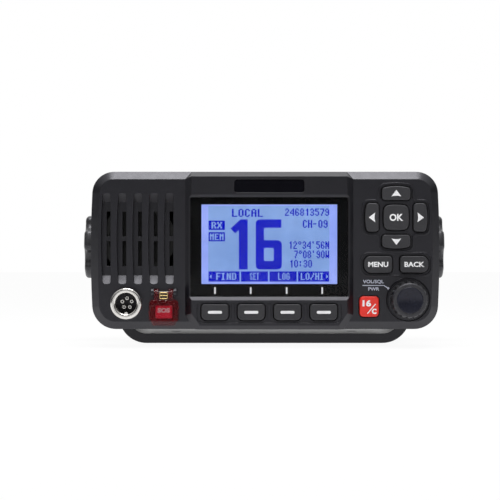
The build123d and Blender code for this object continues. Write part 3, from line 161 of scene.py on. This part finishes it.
def finish(name, colour, rough, metal=0.0, grain=0.0, grain_size=0.0004, mottle=0.12, wear=0.0,
           rough_spread=0.08, specular=0.5, coat=0.0, round_edges=0.0, brushed=None, sheen=0.0):
    """Solid finish with grain, mottling, uneven gloss and paler worn edges."""
    material, tree, shader, place = graph(name)
    set_inputs(shader, {"Metallic": metal, "Specular IOR Level": specular,
                        "Specular Tint": PLAIN_GLOSS if metal else COOL_GLOSS, "Coat Weight": coat,
                        "Coat Roughness": COAT_ROUGHNESS, "Sheen Weight": sheen})
    cloudy = span(tree, noise(tree, place, *CLOUDS), 0, 1)
    tone = mixed(tree, cloudy, tint(colour, 1 - mottle), tint(colour, 1 + mottle))
    if wear:
        edge = tree.nodes.new("ShaderNodeNewGeometry").outputs["Pointiness"]
        worn = tint(colour, WORN_DARK_TINT) if max(colour) < DARK_COLOUR else WORN_PALE
        tone = mixed(tree, span(tree, edge, 0, wear, WORN_LOW, WORN_HIGH), tone, worn)
    tree.links.new(tone, shader.inputs["Base Color"])
    patchy = span(tree, noise(tree, place, *PATCHES), rough - rough_spread, rough + rough_spread)
    tree.links.new(patchy, shader.inputs["Roughness"])
    normal = None
    if round_edges:
        bevel = tree.nodes.new("ShaderNodeBevel")
        bevel.samples = BEVEL_SAMPLES
        bevel.inputs["Radius"].default_value = round_edges
        normal = bevel.outputs["Normal"]
    if grain:
        fine = noise(tree, place, grain_size, GRAIN_DETAIL, brushed)
        normal = bumped(tree, fine, grain, grain_size * GRAIN_RELIEF, normal)
    if normal:
        tree.links.new(normal, shader.inputs["Normal"])
    return material


# Spacing of the wave texture's bands at a scale of 1
WAVE_SPACING = 0.314
CLOTH_PITCH = 0.0005
CLOTH_GAP_TINT, CLOTH_RELIEF, CLOTH_GAP_ROUGH, CLOTH_THREAD_ROUGH = 0.4, 0.25, 0.85, 0.7


def woven(name, colour, pitch):
    """Fine woven cloth with crossing threads."""
    material, tree, shader, place = graph(name)
    threads = []
    for direction in ("X", "Z"):
        wave = tree.nodes.new("ShaderNodeTexWave")
        wave.bands_direction = direction
        wave.inputs["Scale"].default_value = WAVE_SPACING / pitch
        tree.links.new(place, wave.inputs["Vector"])
        threads.append(wave.outputs["Fac"])
    both = computed(tree, "MULTIPLY", *threads)
    tree.links.new(mixed(tree, both, tint(colour, CLOTH_GAP_TINT), colour), shader.inputs["Base Color"])
    tree.links.new(bumped(tree, both, 1.0, pitch * CLOTH_RELIEF), shader.inputs["Normal"])
    tree.links.new(span(tree, both, CLOTH_GAP_ROUGH, CLOTH_THREAD_ROUGH, 0, 1), shader.inputs["Roughness"])
    return material


FLOW, FLOW_TINT, FLOW_RELIEF = (0.006, 2.0), 0.94, 0.0001
HAZE, HAZE_SPREAD = (0.002, 3.0), 0.3


def clear(name, colour, rough, transmission, ior=1.49, grain=0.0, specular=0.5, see_through=0.0):
    """Clear or tinted plastic, with faint flow marks."""
    material, tree, shader, place = graph(name)
    set_inputs(shader, {"Specular IOR Level": specular, "Transmission Weight": transmission, "IOR": ior,
                        "Alpha": 1 - see_through})
    flow = noise(tree, place, *FLOW)
    tree.links.new(mixed(tree, span(tree, flow, 0, 1), tint(colour, FLOW_TINT), colour),
                   shader.inputs["Base Color"])
    haze = noise(tree, place, *HAZE)
    tree.links.new(span(tree, haze, rough * (1 - HAZE_SPREAD), rough * (1 + HAZE_SPREAD)),
                   shader.inputs["Roughness"])
    if grain:
        tree.links.new(bumped(tree, flow, grain, FLOW_RELIEF), shader.inputs["Normal"])
    return material


LCD_ROUGHNESS = 0.4
LCD_CLOUDS, LCD_CELL, LCD_CELL_GAP = (0.02, 2.0), 0.0005, 0.06
LCD_GAP_SHARE, LCD_GAP_TINT = 0.1, 0.6
UNLIT_TINT, UNLIT_GAP_TINT = 0.05, 0.02


def glowing(name, colour, cloud_colour):
    """Lit area of the display, a little uneven, with the faint grid of its cells."""
    material, tree, shader, place = graph(name)
    set_inputs(shader, {"Roughness": LCD_ROUGHNESS, "Specular IOR Level": 0.0, "Emission Strength": 1.0})
    uneven = span(tree, noise(tree, place, *LCD_CLOUDS), 0, 1)
    lit = mixed(tree, uneven, colour, cloud_colour)
    cells = tree.nodes.new("ShaderNodeTexBrick")
    cells.offset = 0.0
    set_inputs(cells, {"Scale": 1 / LCD_CELL, "Mortar Size": LCD_CELL_GAP, "Brick Width": 1.0,
                       "Row Height": 1.0})
    upright = mapped(tree, place, "Rotation", (math.radians(90), 0, 0))
    tree.links.new(upright, cells.inputs["Vector"])
    grid = span(tree, cells.outputs["Fac"], 0, LCD_GAP_SHARE, 0, 1)
    tree.links.new(mixed(tree, grid, lit, tint(colour, LCD_GAP_TINT)), shader.inputs["Emission Color"])
    tree.links.new(mixed(tree, grid, tint(colour, UNLIT_TINT), tint(colour, UNLIT_GAP_TINT)),
                   shader.inputs["Base Color"])
    return material


# Colour of each slot: the record's, or one that is nearer to the photo under this light
BRACKET_SHADE, KEY_SHADE = 0.2, 0.72
COLOURS = {m["slot"]: tuple(m["base_color"][:3]) for m in frame["record"]["materials"]}
COLOURS.update(
    bracket_paint=tint(COLOURS["bracket_paint"], BRACKET_SHADE),
    bezel_plastic=(0.006, 0.006, 0.0085),
    badge_gloss=(0.004, 0.004, 0.006),
    key_rubber=tint(COLOURS["key_rubber"], KEY_SHADE),
    key_red=(0.86, 0.035, 0.02),
    cap_gloss=(0.014, 0.015, 0.024),
    pin_plate=(0.86, 0.85, 0.82),
    button_red=(0.9, 0.004, 0.05),
    window_clear=(0.97, 0.98, 1.0),
    cover_red=(0.26, 0.0, 0.004),
    lcd_glass=(0.26, 0.36, 0.9))

FINISHES = {
    "bracket_paint": dict(rough=0.34, specular=0.6, grain=0.1, grain_size=0.0008, mottle=0.04,
                          rough_spread=0.02, wear=0.3, round_edges=0.0003),
    "knob_plastic": dict(rough=0.36, grain=0.2, wear=0.2, coat=0.15),
    "stainless": dict(rough=0.28, metal=1, grain=0.15, brushed=(1, 1, 20), wear=0.1),
    "washer_nylon": dict(rough=0.5, grain=0.1),
    "insert_brass": dict(rough=0.3, metal=1, grain=0.15, brushed=(20, 1, 1)),
    "pad_rubber": dict(rough=0.75, grain=0.5),
    "bezel_plastic": dict(rough=0.34, grain=0.12, grain_size=0.00035, mottle=0.06, rough_spread=0.03,
                          round_edges=0.00035, specular=0.65),
    "chassis_paint": dict(rough=0.5, grain=0.5, grain_size=0.0007, wear=0.25, mottle=0.08,
                          rough_spread=0.04, round_edges=0.0003),
    "gasket_rubber": dict(rough=0.7, grain=0.3),
    "mask_black": dict(rough=0.5, grain=0.05, specular=0.1),
    "backlight_white": dict(rough=0.4, grain=0.05),
    "badge_gloss": dict(rough=0.14, rough_spread=0.03, specular=0.15),
    "basket_steel": dict(rough=0.45, grain=0.2, metal=0.3),
    "ferrite": dict(rough=0.6, grain=0.5, metal=0.4),
    "cone_paper": dict(rough=0.9, grain=0.6, grain_size=0.0006),
    "silicone": dict(rough=0.6, grain=0.2, sheen=0.1),
    "key_rubber": dict(rough=0.5, grain=0.25, grain_size=0.0003, mottle=0.06),
    "key_red": dict(rough=0.42, grain=0.2, grain_size=0.0003, mottle=0.05),
    "encoder_steel": dict(rough=0.35, metal=1, grain=0.1),
    "volume_plastic": dict(rough=0.42, grain=0.25, grain_size=0.0003, wear=0.3),
    "cap_gloss": dict(rough=0.26, rough_spread=0.04, specular=0.3),
    "chrome_plate": dict(rough=0.2, metal=1, grain=0.05, rough_spread=0.05, mottle=0.05),
    "socket_black": dict(rough=0.6, grain=0.2),
    "pin_plate": dict(rough=0.2, metal=1),
    "spring_wire": dict(rough=0.25, metal=1, rough_spread=0.05),
    "button_red": dict(rough=0.35, grain=0.1),
    "board_green": dict(rough=0.35, grain=0.3, grain_size=0.002),
    "tinned_steel": dict(rough=0.3, metal=1, grain=0.1),
    "module_metal": dict(rough=0.4, metal=1, grain=0.2, brushed=(30, 1, 1)),
    "ribbon_grey": dict(rough=0.55, grain=0.3, brushed=(40, 1, 1)),
    "nickel_plate": dict(rough=0.2, metal=1, grain=0.05, wear=0.1),
    "ptfe_white": dict(rough=0.4, grain=0.05),
    "gland_rubber": dict(rough=0.65, grain=0.3),
}
LOOKS = {slot: finish(slot + "_look", COLOURS[slot], **options) for slot, options in FINISHES.items()}
LOOKS["membrane_black"] = woven("membrane_black_look", COLOURS["membrane_black"], CLOTH_PITCH)
LOOKS["window_clear"] = clear("window_clear_look", COLOURS["window_clear"], rough=0.03,
                              transmission=0.992, ior=1.15, specular=0.2)
LOOKS["cover_red"] = clear("cover_red_look", COLOURS["cover_red"], rough=0.07, transmission=0.5, grain=0.1,
                           specular=0.12, see_through=0.68)
LOOKS["lcd_glass"] = glowing("lcd_glass_look", COLOURS["lcd_glass"], cloud_colour=(0.34, 0.42, 0.96))

for node in NODES.values():
    node.data.materials[0] = LOOKS[node.data.materials[0].name.split(".")[0]]
PIN_STEEL = finish("pin_steel_look", (0.16, 0.15, 0.15), rough=0.5, metal=1)
NODES["cover_hinge_pin"].data.materials[0] = PIN_STEEL

WHITE_PRINT = finish("white_print_look", (0.95, 0.95, 0.96), rough=0.5, mottle=0.02, grain=0.1)
GREY_PRINT = finish("grey_print_look", (0.58, 0.61, 0.72), rough=0.5, mottle=0.03, grain=0.1)
# Dark red sheet under the distress cover: painted red-tinted shade that the cover casts on the panel
PAINTED_RED_SHADE = finish("distress_plate_look", (0.03, 0.0, 0.001), rough=0.5, grain=0.1, specular=0.1)
# Near-black finish for painted shade in hollows: the screws' cross recess and the pins' open ends
PAINTED_SHADE = finish("recess_dark_look", (0.006, 0.006, 0.006), rough=0.6, grain=0.1)
FIELD = glowing("lcd_field_look", (0.2, 0.34, 0.69), (0.25, 0.4, 0.76))
SEGMENTS = glowing("lcd_segment_look", (0.001, 0.005, 0.48), (0.002, 0.008, 0.54))


# Flat shapes in the panel frame

PRINT_T = 0.04
CORNER_STEPS = 6
LETTER_STEPS = 3
MERGE_DISTANCE = 1e-7


def shifted(points, offset):
    """Points of a plane moved by an offset."""
    return [(x + offset[0], y + offset[1]) for x, y in points]


def rounded(points, radii):
    """Closed loop with its corners rounded; a radius of zero keeps the corner."""
    loop = []
    count = len(points)
    for n, (point, radius) in enumerate(zip(points, radii)):
        corner = Vector(point)
        if not radius:
            loop.append(tuple(corner))
            continue
        before = (Vector(points[n - 1]) - corner).normalized()
        after = (Vector(points[(n + 1) % count]) - corner).normalized()
        half = before.angle(after) / 2
        start, end = corner + before * radius / math.tan(half), corner + after * radius / math.tan(half)
        centre = corner + (before + after).normalized() * radius / math.sin(half)
        first, last = start - centre, end - centre
        sweep = first.angle_signed(last)
        for k in range(CORNER_STEPS + 1):
            turned = first.copy()
            turned.rotate(Matrix.Rotation(-sweep * k / CORNER_STEPS, 2))
            loop.append(tuple(centre + turned))
    return loop


def box_loop(left, right, bottom, top, radius=0.0):
    """Closed loop round a box, with round corners where it has a radius."""
    corners = [(left, bottom), (right, bottom), (right, top), (left, top)]
    return rounded(corners, [radius] * 4)


def ring(centre, radius, steps, start=0.0):
    """Points round a circle, from an angle in radians."""
    turns = [start + 2 * math.pi * k / steps for k in range(steps)]
    return [(centre[0] + radius * math.cos(a), centre[1] + radius * math.sin(a)) for a in turns]


def add_line(curve, points, closed):
    """Line of straight runs in a curve."""
    line = curve.splines.new("POLY")
    line.points.add(len(points) - 1)
    for point, place in zip(line.points, points):
        point.co = (*place, 1)
    line.use_cyclic_u = closed


def curve_mesh(curve):
    """Mesh of a curve, as (points, faces)."""
    holder = add("curve_holder", curve)
    bpy.context.view_layer.update()
    mesh = bpy.data.meshes.new_from_object(holder.evaluated_get(bpy.context.evaluated_depsgraph_get()))
    shape = [tuple(v.co) for v in mesh.vertices], [tuple(p.vertices) for p in mesh.polygons]
    bpy.data.objects.remove(holder)
    bpy.data.meshes.remove(mesh)
    return shape


def filled(loops, thickness=PRINT_T):
    """Flat shape from closed loops; a loop inside another is a hole."""
    curve = bpy.data.curves.new("loops", "CURVE")
    curve.dimensions = "2D"
    curve.fill_mode = "BOTH"
    curve.extrude = thickness / 2
    for loop in loops:
        add_line(curve, [(x, y, 0) for x, y in loop], True)
    return curve_mesh(curve)


def lettering(words, centre, size, bold):
    """Plain lettering scaled to a size about a centre."""
    curve = bpy.data.curves.new("words", "FONT")
    curve.body = words
    curve.offset = bold
    curve.extrude = PRINT_T / 2
    curve.resolution_u = LETTER_STEPS
    points, faces = curve_mesh(curve)
    lows = [min(p[k] for p in points) for k in (0, 1)]
    spans = [max(p[k] for p in points) - lows[k] for k in (0, 1)]
    placed = [(*((p[k] - lows[k]) / spans[k] * size[k] - size[k] / 2 + centre[k] for k in (0, 1)), p[2])
              for p in points]
    return placed, faces


def piece(name, shapes, height, material, body):
    """One named piece made of flat shapes, with their undersides at a height above the panel."""
    points, faces = [], []
    for shape_points, shape_faces in shapes:
        start = len(points)
        points += shape_points
        faces += [tuple(start + k for k in face) for face in shape_faces]
    low = min(p[2] for p in points)
    mesh = bpy.data.meshes.new(name)
    mesh.from_pydata([(x, y, z - low + height) for x, y, z in points], [], faces)
    mesh.transform(PANEL)
    clean = bmesh.new()
    clean.from_mesh(mesh)
    bmesh.ops.remove_doubles(clean, verts=clean.verts, dist=MERGE_DISTANCE)
    bmesh.ops.recalc_face_normals(clean, faces=clean.faces)
    clean.to_mesh(mesh)
    clean.free()
    mesh.materials.append(material)
    obj = add(name, mesh)
    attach(obj, body)


# Marks on the keys and the panel

KEY_TOP, SOFT_TOP, BUTTON_TOP = 1.5, 3.8, 2.4
DPAD_AT, ARROW_OFFSET = (64.15, 16.15), 11.9
ARROW_W, ARROW_H, ARROW_HOLLOW, ARROW_STEPS = 4.8, 3.2, 0.35, 8
arrow = [(0, ARROW_H / 2)]
for k in range(ARROW_STEPS + 1):
    share = k / ARROW_STEPS
    arrow.append((ARROW_W / 2 - ARROW_W * share, ARROW_HOLLOW * math.sin(math.pi * share) - ARROW_H / 2))
arrow = shifted(arrow, (0, ARROW_OFFSET))
for name, angle in (("up", 0), ("left", 90), ("down", 180), ("right", 270)):
    turn = Matrix.Rotation(math.radians(angle), 2)
    loop = shifted([turn @ Vector(point) for point in arrow], DPAD_AT)
    piece(name + "_arrow", [filled([loop])], KEY_TOP, WHITE_PRINT, name + "_key")

KEY_BOLD = 0.035
# Key, word, centre and size
KEY_WORDS = (("ok", "OK", DPAD_AT, (6.7, 3.5)), ("menu", "MENU", (55.3, -6.85), (9.8, 2.55)),
             ("back", "BACK", (73.0, -6.85), (9.8, 2.55)))
for name, word, centre, size in KEY_WORDS:
    piece(name + "_letters", [lettering(word, centre, size, KEY_BOLD)], KEY_TOP, WHITE_PRINT, name + "_key")

BAR_XS, BAR_Y, BAR_W, BAR_H = (-24.55, -6.85, 10.85, 28.55), -30.2, 6.9, 1.4
BAR_CORNER_R = BAR_H * 0.45
for n, x in enumerate(BAR_XS, 1):
    bar = box_loop(x - BAR_W / 2, x + BAR_W / 2, BAR_Y - BAR_H / 2, BAR_Y + BAR_H / 2, BAR_CORNER_R)
    piece(f"soft_bar_{n}", [filled([bar])], SOFT_TOP, WHITE_PRINT, f"soft_key_{n}")

CHANNEL_AT = (50.9, -27.5)
SIXTEEN_AT, SIXTEEN_SIZE, SIXTEEN_BOLD = (-1.2, 1.65), (4.2, 3.2), 0.05
CALL_AT, CALL_SIZE, CALL_BOLD = (2.4, -2.3), (2.3, 2.7), 0.06
SLASH = [(-1.15, -3.35), (-0.75, -3.6), (3.3, 1.2), (2.9, 1.45)]
sixteen_at, call_at = shifted([SIXTEEN_AT, CALL_AT], CHANNEL_AT)
piece("channel_letters",
      [lettering("16", sixteen_at, SIXTEEN_SIZE, SIXTEEN_BOLD), filled([shifted(SLASH, CHANNEL_AT)]),
       lettering("C", call_at, CALL_SIZE, CALL_BOLD)],
      KEY_TOP, WHITE_PRINT, "channel_key")

VOLUME_WORD_AT, VOLUME_WORD_SIZE = (53.0, -15.4), (10.2, 2.0)
POWER_WORD_AT, POWER_WORD_SIZE = (53.2, -18.9), (5.4, 1.6)
VOLUME_BOLD = 0.02
LEADER = [(47.7, -17.35), (58.1, -17.35), (60.1, -18.75), (60.4, -18.4), (58.3, -17.0), (47.7, -17.0)]
LEADER_DOT = box_loop(59.75, 60.85, -19.1, -18.0, 0.5)
LEADER_DOT_T = 0.06
piece("volume_marks",
      [lettering("VOL/SQL", VOLUME_WORD_AT, VOLUME_WORD_SIZE, VOLUME_BOLD), filled([LEADER]),
       filled([LEADER_DOT], LEADER_DOT_T), lettering("PWR", POWER_WORD_AT, POWER_WORD_SIZE, VOLUME_BOLD)],
      0.0, GREY_PRINT, "case")

# Outline, opening and thickness of the dark red sheet of painted shade under the cover
RED_SHADE_EDGE = box_loop(-56.4, -42.8, -34.4, -24.8, 0.8)
RED_SHADE_OPENING = box_loop(-53.9, -45.3, -33.3, -26.9)
RED_SHADE_T = 0.2
SOS_AT, SOS_SIZE, SOS_BOLD = (-49.6, -29.3), (6.0, 2.3), 0.05
piece("distress_plate", [filled([RED_SHADE_EDGE, RED_SHADE_OPENING], RED_SHADE_T)], 0.0, PAINTED_RED_SHADE, "case")
piece("distress_letters", [lettering("SOS", SOS_AT, SOS_SIZE, SOS_BOLD)], BUTTON_TOP, WHITE_PRINT,
      "distress_push")


# Rim of the volume knob's well, thread of the antenna socket, and painted shade for the screws' cross recess
# and for the pins' open ends

def ridge(name, line, thickness, closed, low, material):
    """Ridge with sloping sides along a line in the panel frame, from a lowest height."""
    curve = bpy.data.curves.new(name, "CURVE")
    curve.dimensions = "3D"
    curve.bevel_depth = thickness / 2
    curve.bevel_resolution = 0
    curve.use_fill_caps = not closed
    add_line(curve, line, closed)
    piece(name, [curve_mesh(curve)], low, material, "case")


def rear_of(node):
    """Height in the panel frame of the rearmost point of a node."""
    return -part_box(node)[1][1] / MM - FACE_DEPTH


KNOB_AT, KNOB_RIM_R, KNOB_RIM_T, KNOB_RIM_STEPS = (70.1, -24.2), 10.7, 0.5, 60
knob_rim = [(x, y, 0) for x, y in ring(KNOB_AT, KNOB_RIM_R, KNOB_RIM_STEPS)]
ridge("knob_well_rim", knob_rim, KNOB_RIM_T, True, -KNOB_RIM_T / 2, LOOKS["bezel_plastic"])

THREAD_R, THREAD_T, THREAD_PITCH, THREAD_TURNS, THREAD_STEPS = 7.9, 0.6, 1.06, 12, 36
THREAD_LEAD = 1.0
socket_low, socket_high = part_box("antenna_socket")
socket_at = ((socket_low[0] + socket_high[0]) / 2 / MM,
             (socket_low[2] + socket_high[2]) / 2 / MM - PANEL_CENTRE_Z)
thread_turn = ring(socket_at, THREAD_R, THREAD_STEPS)
helix = [(*thread_turn[k % THREAD_STEPS], k * THREAD_PITCH / THREAD_STEPS)
         for k in range(THREAD_TURNS * THREAD_STEPS + 1)]
ridge("antenna_thread", helix, THREAD_T, False, rear_of("antenna_socket") + THREAD_LEAD,
      LOOKS["nickel_plate"])

SCREW_X, SCREW_Y, RECESS_L, RECESS_W = 78.3, 32.0, 1.35, 0.32
CROSS = [(RECESS_W, RECESS_L), (-RECESS_W, RECESS_L), (-RECESS_W, RECESS_W), (-RECESS_L, RECESS_W),
         (-RECESS_L, -RECESS_W), (-RECESS_W, -RECESS_W), (-RECESS_W, -RECESS_L), (RECESS_W, -RECESS_L),
         (RECESS_W, -RECESS_W), (RECESS_L, -RECESS_W), (RECESS_L, RECESS_W), (RECESS_W, RECESS_W)]
# Painted shade: flat near-black crosses on the screw heads stand in for the shade in their cross recess
recess_shades = [shifted(CROSS, (sx * SCREW_X, sy * SCREW_Y)) for sx in (-1, 1) for sy in (-1, 1)]
piece("case_screw_recess_shades", [filled(recess_shades)], rear_of("case_screws") - PRINT_T / 2, PAINTED_SHADE, "case")

MIC_AT, PIN_COUNT, PIN_CIRCLE_R, PIN_TIP = (-67.9, -25.9), 5, 2.45, -2.8
BORE_R, BORE_STEPS = 0.5, 16
# Painted shade: near-black discs at the pin tips stand in for the shade inside the pins' open ends
bore_shades = [ring(pin, BORE_R, BORE_STEPS) for pin in ring(MIC_AT, PIN_CIRCLE_R, PIN_COUNT, math.radians(90))]
piece("mic_pin_bore_shades", [filled(bore_shades)], PIN_TIP - PRINT_T / 2, PAINTED_SHADE, "case")


# Display picture; places are from the middle of the lit area

LCD_AT, LCD_T = (2.0, 3.03), 0.02
FIELD_H, SEGMENT_H, REVERSED_H = 0.27, 0.31, 0.35

# Rows of each character from the top, one hexadecimal digit of four dots a row
DOTS = {"0": "6999996", "1": "2622222", "2": "691248F", "3": "6916196", "4": "1359F11", "5": "F8E1196",
        "6": "698E996", "7": "F112244", "8": "6996996", "9": "6997196", "A": "699F999", "C": "6988896",
        "D": "E99999E", "E": "F88E88F", "F": "F88E888", "G": "698B996", "H": "999F999", "I": "E44444E",
        "L": "888888F", "M": "9FF9999", "N": "9DDBB99", "O": "6999996", "R": "E99EA99", "S": "6984296",
        "T": "E444444", "W": "9999FF9", "X": "9966699", "/": "1122488", "-": "000E000", ":": "0440440",
        "°": "6960000", "'": "4400000"}
DOT_ROWS, DOT_COLUMNS = 7, 4
# Cells of the finer grid that the characters are cut from: per dot, across a bold dot, per character
DOT_CELLS, BOLD_CELLS, PITCH_CELLS = 2, 3, 11


def slab(cells, wide, high, corner, thickness):
    """Closed thin slab that covers cells of a grid, counted right and down from a corner."""
    points, faces = [], []

    def place(column, row, level):
        points.append((corner[0] + column * wide, corner[1] - row * high, level * thickness))
        return len(points) - 1

    for column, row in sorted(cells):
        outline = [(column, row + 1), (column + 1, row + 1), (column + 1, row), (column, row)]
        faces.append(tuple(place(c, r, 1) for c, r in outline))
        faces.append(tuple(place(c, r, 0) for c, r in reversed(outline)))
        for n, step in enumerate(((0, 1), (1, 0), (0, -1), (-1, 0))):
            if (column + step[0], row + step[1]) not in cells:
                first, second = outline[n], outline[(n + 1) % 4]
                faces.append((place(*first, 0), place(*second, 0), place(*second, 1), place(*first, 1)))
    return points, faces


def lcd_words(words, left, right, bottom, top):
    """Bold squared characters in a box on the display."""
    cells = set()
    for n, character in enumerate(words):
        for row, dots in enumerate(DOTS[character]):
            for column in range(DOT_COLUMNS):
                if int(dots, 16) & 8 >> column:
                    cells |= {(n * PITCH_CELLS + column * DOT_CELLS + i, row * DOT_CELLS + j)
                              for i in range(BOLD_CELLS) for j in range(DOT_CELLS)}
    wide = (right - left) / (len(words) * PITCH_CELLS - DOT_CELLS)
    corner, = shifted([(left, top)], LCD_AT)
    return slab(cells, wide, (top - bottom) / (DOT_ROWS * DOT_CELLS), corner, LCD_T)


def lcd_loops(loops):
    """Flat shape from closed loops on the display."""
    return filled([shifted(loop, LCD_AT) for loop in loops], LCD_T)


FIELD_BOX = (-29.9, 29.4, -18.3, 18.8)
DIGIT_ONE = [(-14.1, 12.15), (-10.6, 12.15), (-10.6, -12.35), (-14.9, -12.35), (-14.9, 7.0), (-16.7, 5.3),
             (-18.95, 7.75)]
DIGIT_SIX = [(-6.65, 12.15), (5.9, 12.15), (5.9, 8.05), (-2.6, 8.05), (-2.6, 1.95), (6.15, 1.95),
             (6.15, -12.35), (-6.65, -12.35)]
DIGIT_SIX_RADII = [2.0, 0, 0, 0.4, 0.4, 2.2, 2.2, 2.2]
# Boxes as left, right, bottom, top, and the radius of the corners where they are round
SIX_HOLE = (-2.6, 2.15, -8.2, -1.8, 0.5)
TAGS = ((-29.75, -21.7, 7.0, 11.6, 0.4), (-29.75, -21.7, 1.4, 5.9, 0.4))
SOFT_LABELS = ((-29.75, -14.6, -18.3, -13.3), (-13.85, -0.65, -18.3, -13.3), (0.1, 13.4, -18.3, -13.3),
               (14.1, 29.25, -18.3, -13.3))
DARK_WORDS = (("LOCAL", -18.3, -3.1, 13.4, 17.3), ("246813579", 7.7, 29.3, 13.9, 17.5),
              ("CH-09", 16.4, 28.6, 8.0, 11.9), ("12°34'56N", 9.5, 29.3, -2.3, 1.4),
              ("7°08'90W", 12.1, 29.3, -6.9, -3.1), ("10:30", 9.9, 20.9, -11.4, -7.7))
PALE_WORDS = (("RX", -28.3, -23.2, 7.7, 10.9), ("MEM", -29.1, -22.4, 2.0, 5.2),
              ("FIND", -26.0, -16.2, -17.5, -14.0), ("SET", -9.5, -4.8, -17.5, -14.0),
              ("LOG", 4.3, 10.0, -17.5, -14.0), ("LO/HI", 15.4, 26.8, -17.5, -14.0))
PAGE_ARROWS = [[(-29.3, -15.8), (-28.3, -14.8), (-28.3, -16.8)],
               [(28.9, -15.8), (27.9, -16.8), (27.9, -14.8)]]

piece("lcd_field", [lcd_loops([box_loop(*FIELD_BOX)])], FIELD_H, FIELD, "case")
boxes = [box_loop(*box) for box in (SIX_HOLE, *TAGS, *SOFT_LABELS)]
piece("lcd_segments",
      [lcd_loops([DIGIT_ONE, rounded(DIGIT_SIX, DIGIT_SIX_RADII), *boxes]),
       *(lcd_words(*row) for row in DARK_WORDS)],
      SEGMENT_H, SEGMENTS, "case")
piece("lcd_reversed", [*(lcd_words(*row) for row in PALE_WORDS), lcd_loops(PAGE_ARROWS)], REVERSED_H, FIELD,
      "case")

TICK_XS, TICK_W, TICK_LOW, TICK_HIGH = (-24.6, -7.1, 10.5, 27.9), 0.8, -21.3, -18.0
TICK_CORNER_R, TICK_T, TICK_H = 0.2, 0.01, 0.45
ticks = [box_loop(x - TICK_W / 2, x + TICK_W / 2, TICK_LOW, TICK_HIGH, TICK_CORNER_R) for x in TICK_XS]
piece("window_ticks", [filled(ticks, TICK_T)], TICK_H, WHITE_PRINT, "case")


# Stage, in metres

FLOOR_REACH, FLOOR_COLOUR, FLOOR_GLOW = 3.0, (0.9, 0.9, 0.9, 1), 0.94
DIM_LEVEL, OVERHEAD_LEVEL = 0.038, 0.8
# Parts of the way up and back over which the world brightens
OVERHEAD_FROM, OVERHEAD_TO = 0.25, 0.9
BEHIND_FROM, BEHIND_TO = 0.35, 0.8
SOFTBOX_AT, SOFTBOX_TARGET = (0, -0.19, 0.72), (0, -0.19, 0)
SOFTBOX_SIZE, SOFTBOX_RADIANCE = (0.46, 0.5), 6.6
CAMERA_AT = (-0.00745, -0.974, 0.0479)
SENSOR_WIDTH, LENS, CLIP_START = 36.0, 132.24, 0.01


def ray_kind(tree, *kinds):
    """1 for rays of the named kinds, else 0."""
    path = tree.nodes.new("ShaderNodeLightPath")
    result = path.outputs[kinds[0]]
    for kind in kinds[1:]:
        result = computed(tree, "MAXIMUM", result, path.outputs[kind])
    return result


def make_floor():
    """Pale floor that looks white, also in gloss and glass, and keeps a soft shadow."""
    mesh = bpy.data.meshes.new("floor")
    corners = [(-1, -1), (1, -1), (1, 1), (-1, 1)]
    mesh.from_pydata([(x * FLOOR_REACH, y * FLOOR_REACH, 0) for x, y in corners], [], [(0, 1, 2, 3)])
    material = bpy.data.materials.new("floor_look")
    material.use_nodes = True
    tree = material.node_tree
    tree.nodes.clear()
    diffuse = tree.nodes.new("ShaderNodeBsdfDiffuse")
    diffuse.inputs["Color"].default_value = FLOOR_COLOUR
    glow = tree.nodes.new("ShaderNodeEmission")
    mix = tree.nodes.new("ShaderNodeMixShader")
    out = tree.nodes.new("ShaderNodeOutputMaterial")
    eye = ray_kind(tree, "Is Camera Ray", "Is Transmission Ray", "Is Glossy Ray")
    tree.links.new(computed(tree, "MULTIPLY", eye, FLOOR_GLOW), mix.inputs["Fac"])
    tree.links.new(diffuse.outputs[0], mix.inputs[1])
    tree.links.new(glow.outputs[0], mix.inputs[2])
    tree.links.new(mix.outputs[0], out.inputs["Surface"])
    mesh.materials.append(material)
    add("floor", mesh)


def make_world():
    """White to the eye; as light, bright overhead and behind the radio, and dim before and beside it."""
    world = bpy.data.worlds.new("studio")
    bpy.context.scene.world = world
    world.use_nodes = True
    tree = world.node_tree
    background = tree.nodes["Background"]
    background.inputs["Color"].default_value = (1, 1, 1, 1)
    direction = tree.nodes.new("ShaderNodeTexCoord").outputs["Generated"]
    apart = tree.nodes.new("ShaderNodeSeparateXYZ")
    tree.links.new(direction, apart.inputs[0])
    overhead = span(tree, apart.outputs["Z"], DIM_LEVEL, OVERHEAD_LEVEL, OVERHEAD_FROM, OVERHEAD_TO)
    behind = span(tree, apart.outputs["Y"], 0, 1 - DIM_LEVEL, BEHIND_FROM, BEHIND_TO)
    mix = tree.nodes.new("ShaderNodeMix")
    tree.links.new(ray_kind(tree, "Is Camera Ray", "Is Transmission Ray"), mix.inputs["Factor"])
    tree.links.new(computed(tree, "ADD", overhead, behind, clamp=True), mix.inputs["A"])
    mix.inputs["B"].default_value = 1.0
    tree.links.new(mix.outputs["Result"], background.inputs["Strength"])


def make_lamp(name, place, target, size, radiance):
    """Rectangular soft lamp that the camera does not see."""
    lamp = bpy.data.lights.new(name, "AREA")
    lamp.shape = "RECTANGLE"
    lamp.size, lamp.size_y = size
    lamp.energy = radiance * math.pi * size[0] * size[1]
    obj = add(name, lamp)
    obj.location = place
    obj.rotation_euler = (Vector(target) - Vector(place)).to_track_quat("-Z", "Y").to_euler()
    obj.visible_camera = False


def make_camera():
    """Level camera in front of the panel, as in the photo."""
    camera = add("camera", bpy.data.cameras.new("camera"))
    camera.data.sensor_width = SENSOR_WIDTH
    camera.data.lens = LENS
    camera.data.clip_start = CLIP_START
    camera.location = CAMERA_AT
    camera.rotation_euler = (math.radians(90), 0, 0)
    bpy.context.scene.camera = camera


make_floor()
make_world()
make_lamp("top_softbox", SOFTBOX_AT, SOFTBOX_TARGET, SOFTBOX_SIZE, SOFTBOX_RADIANCE)
make_camera()
bpy.context.scene.view_settings.view_transform = "Standard"
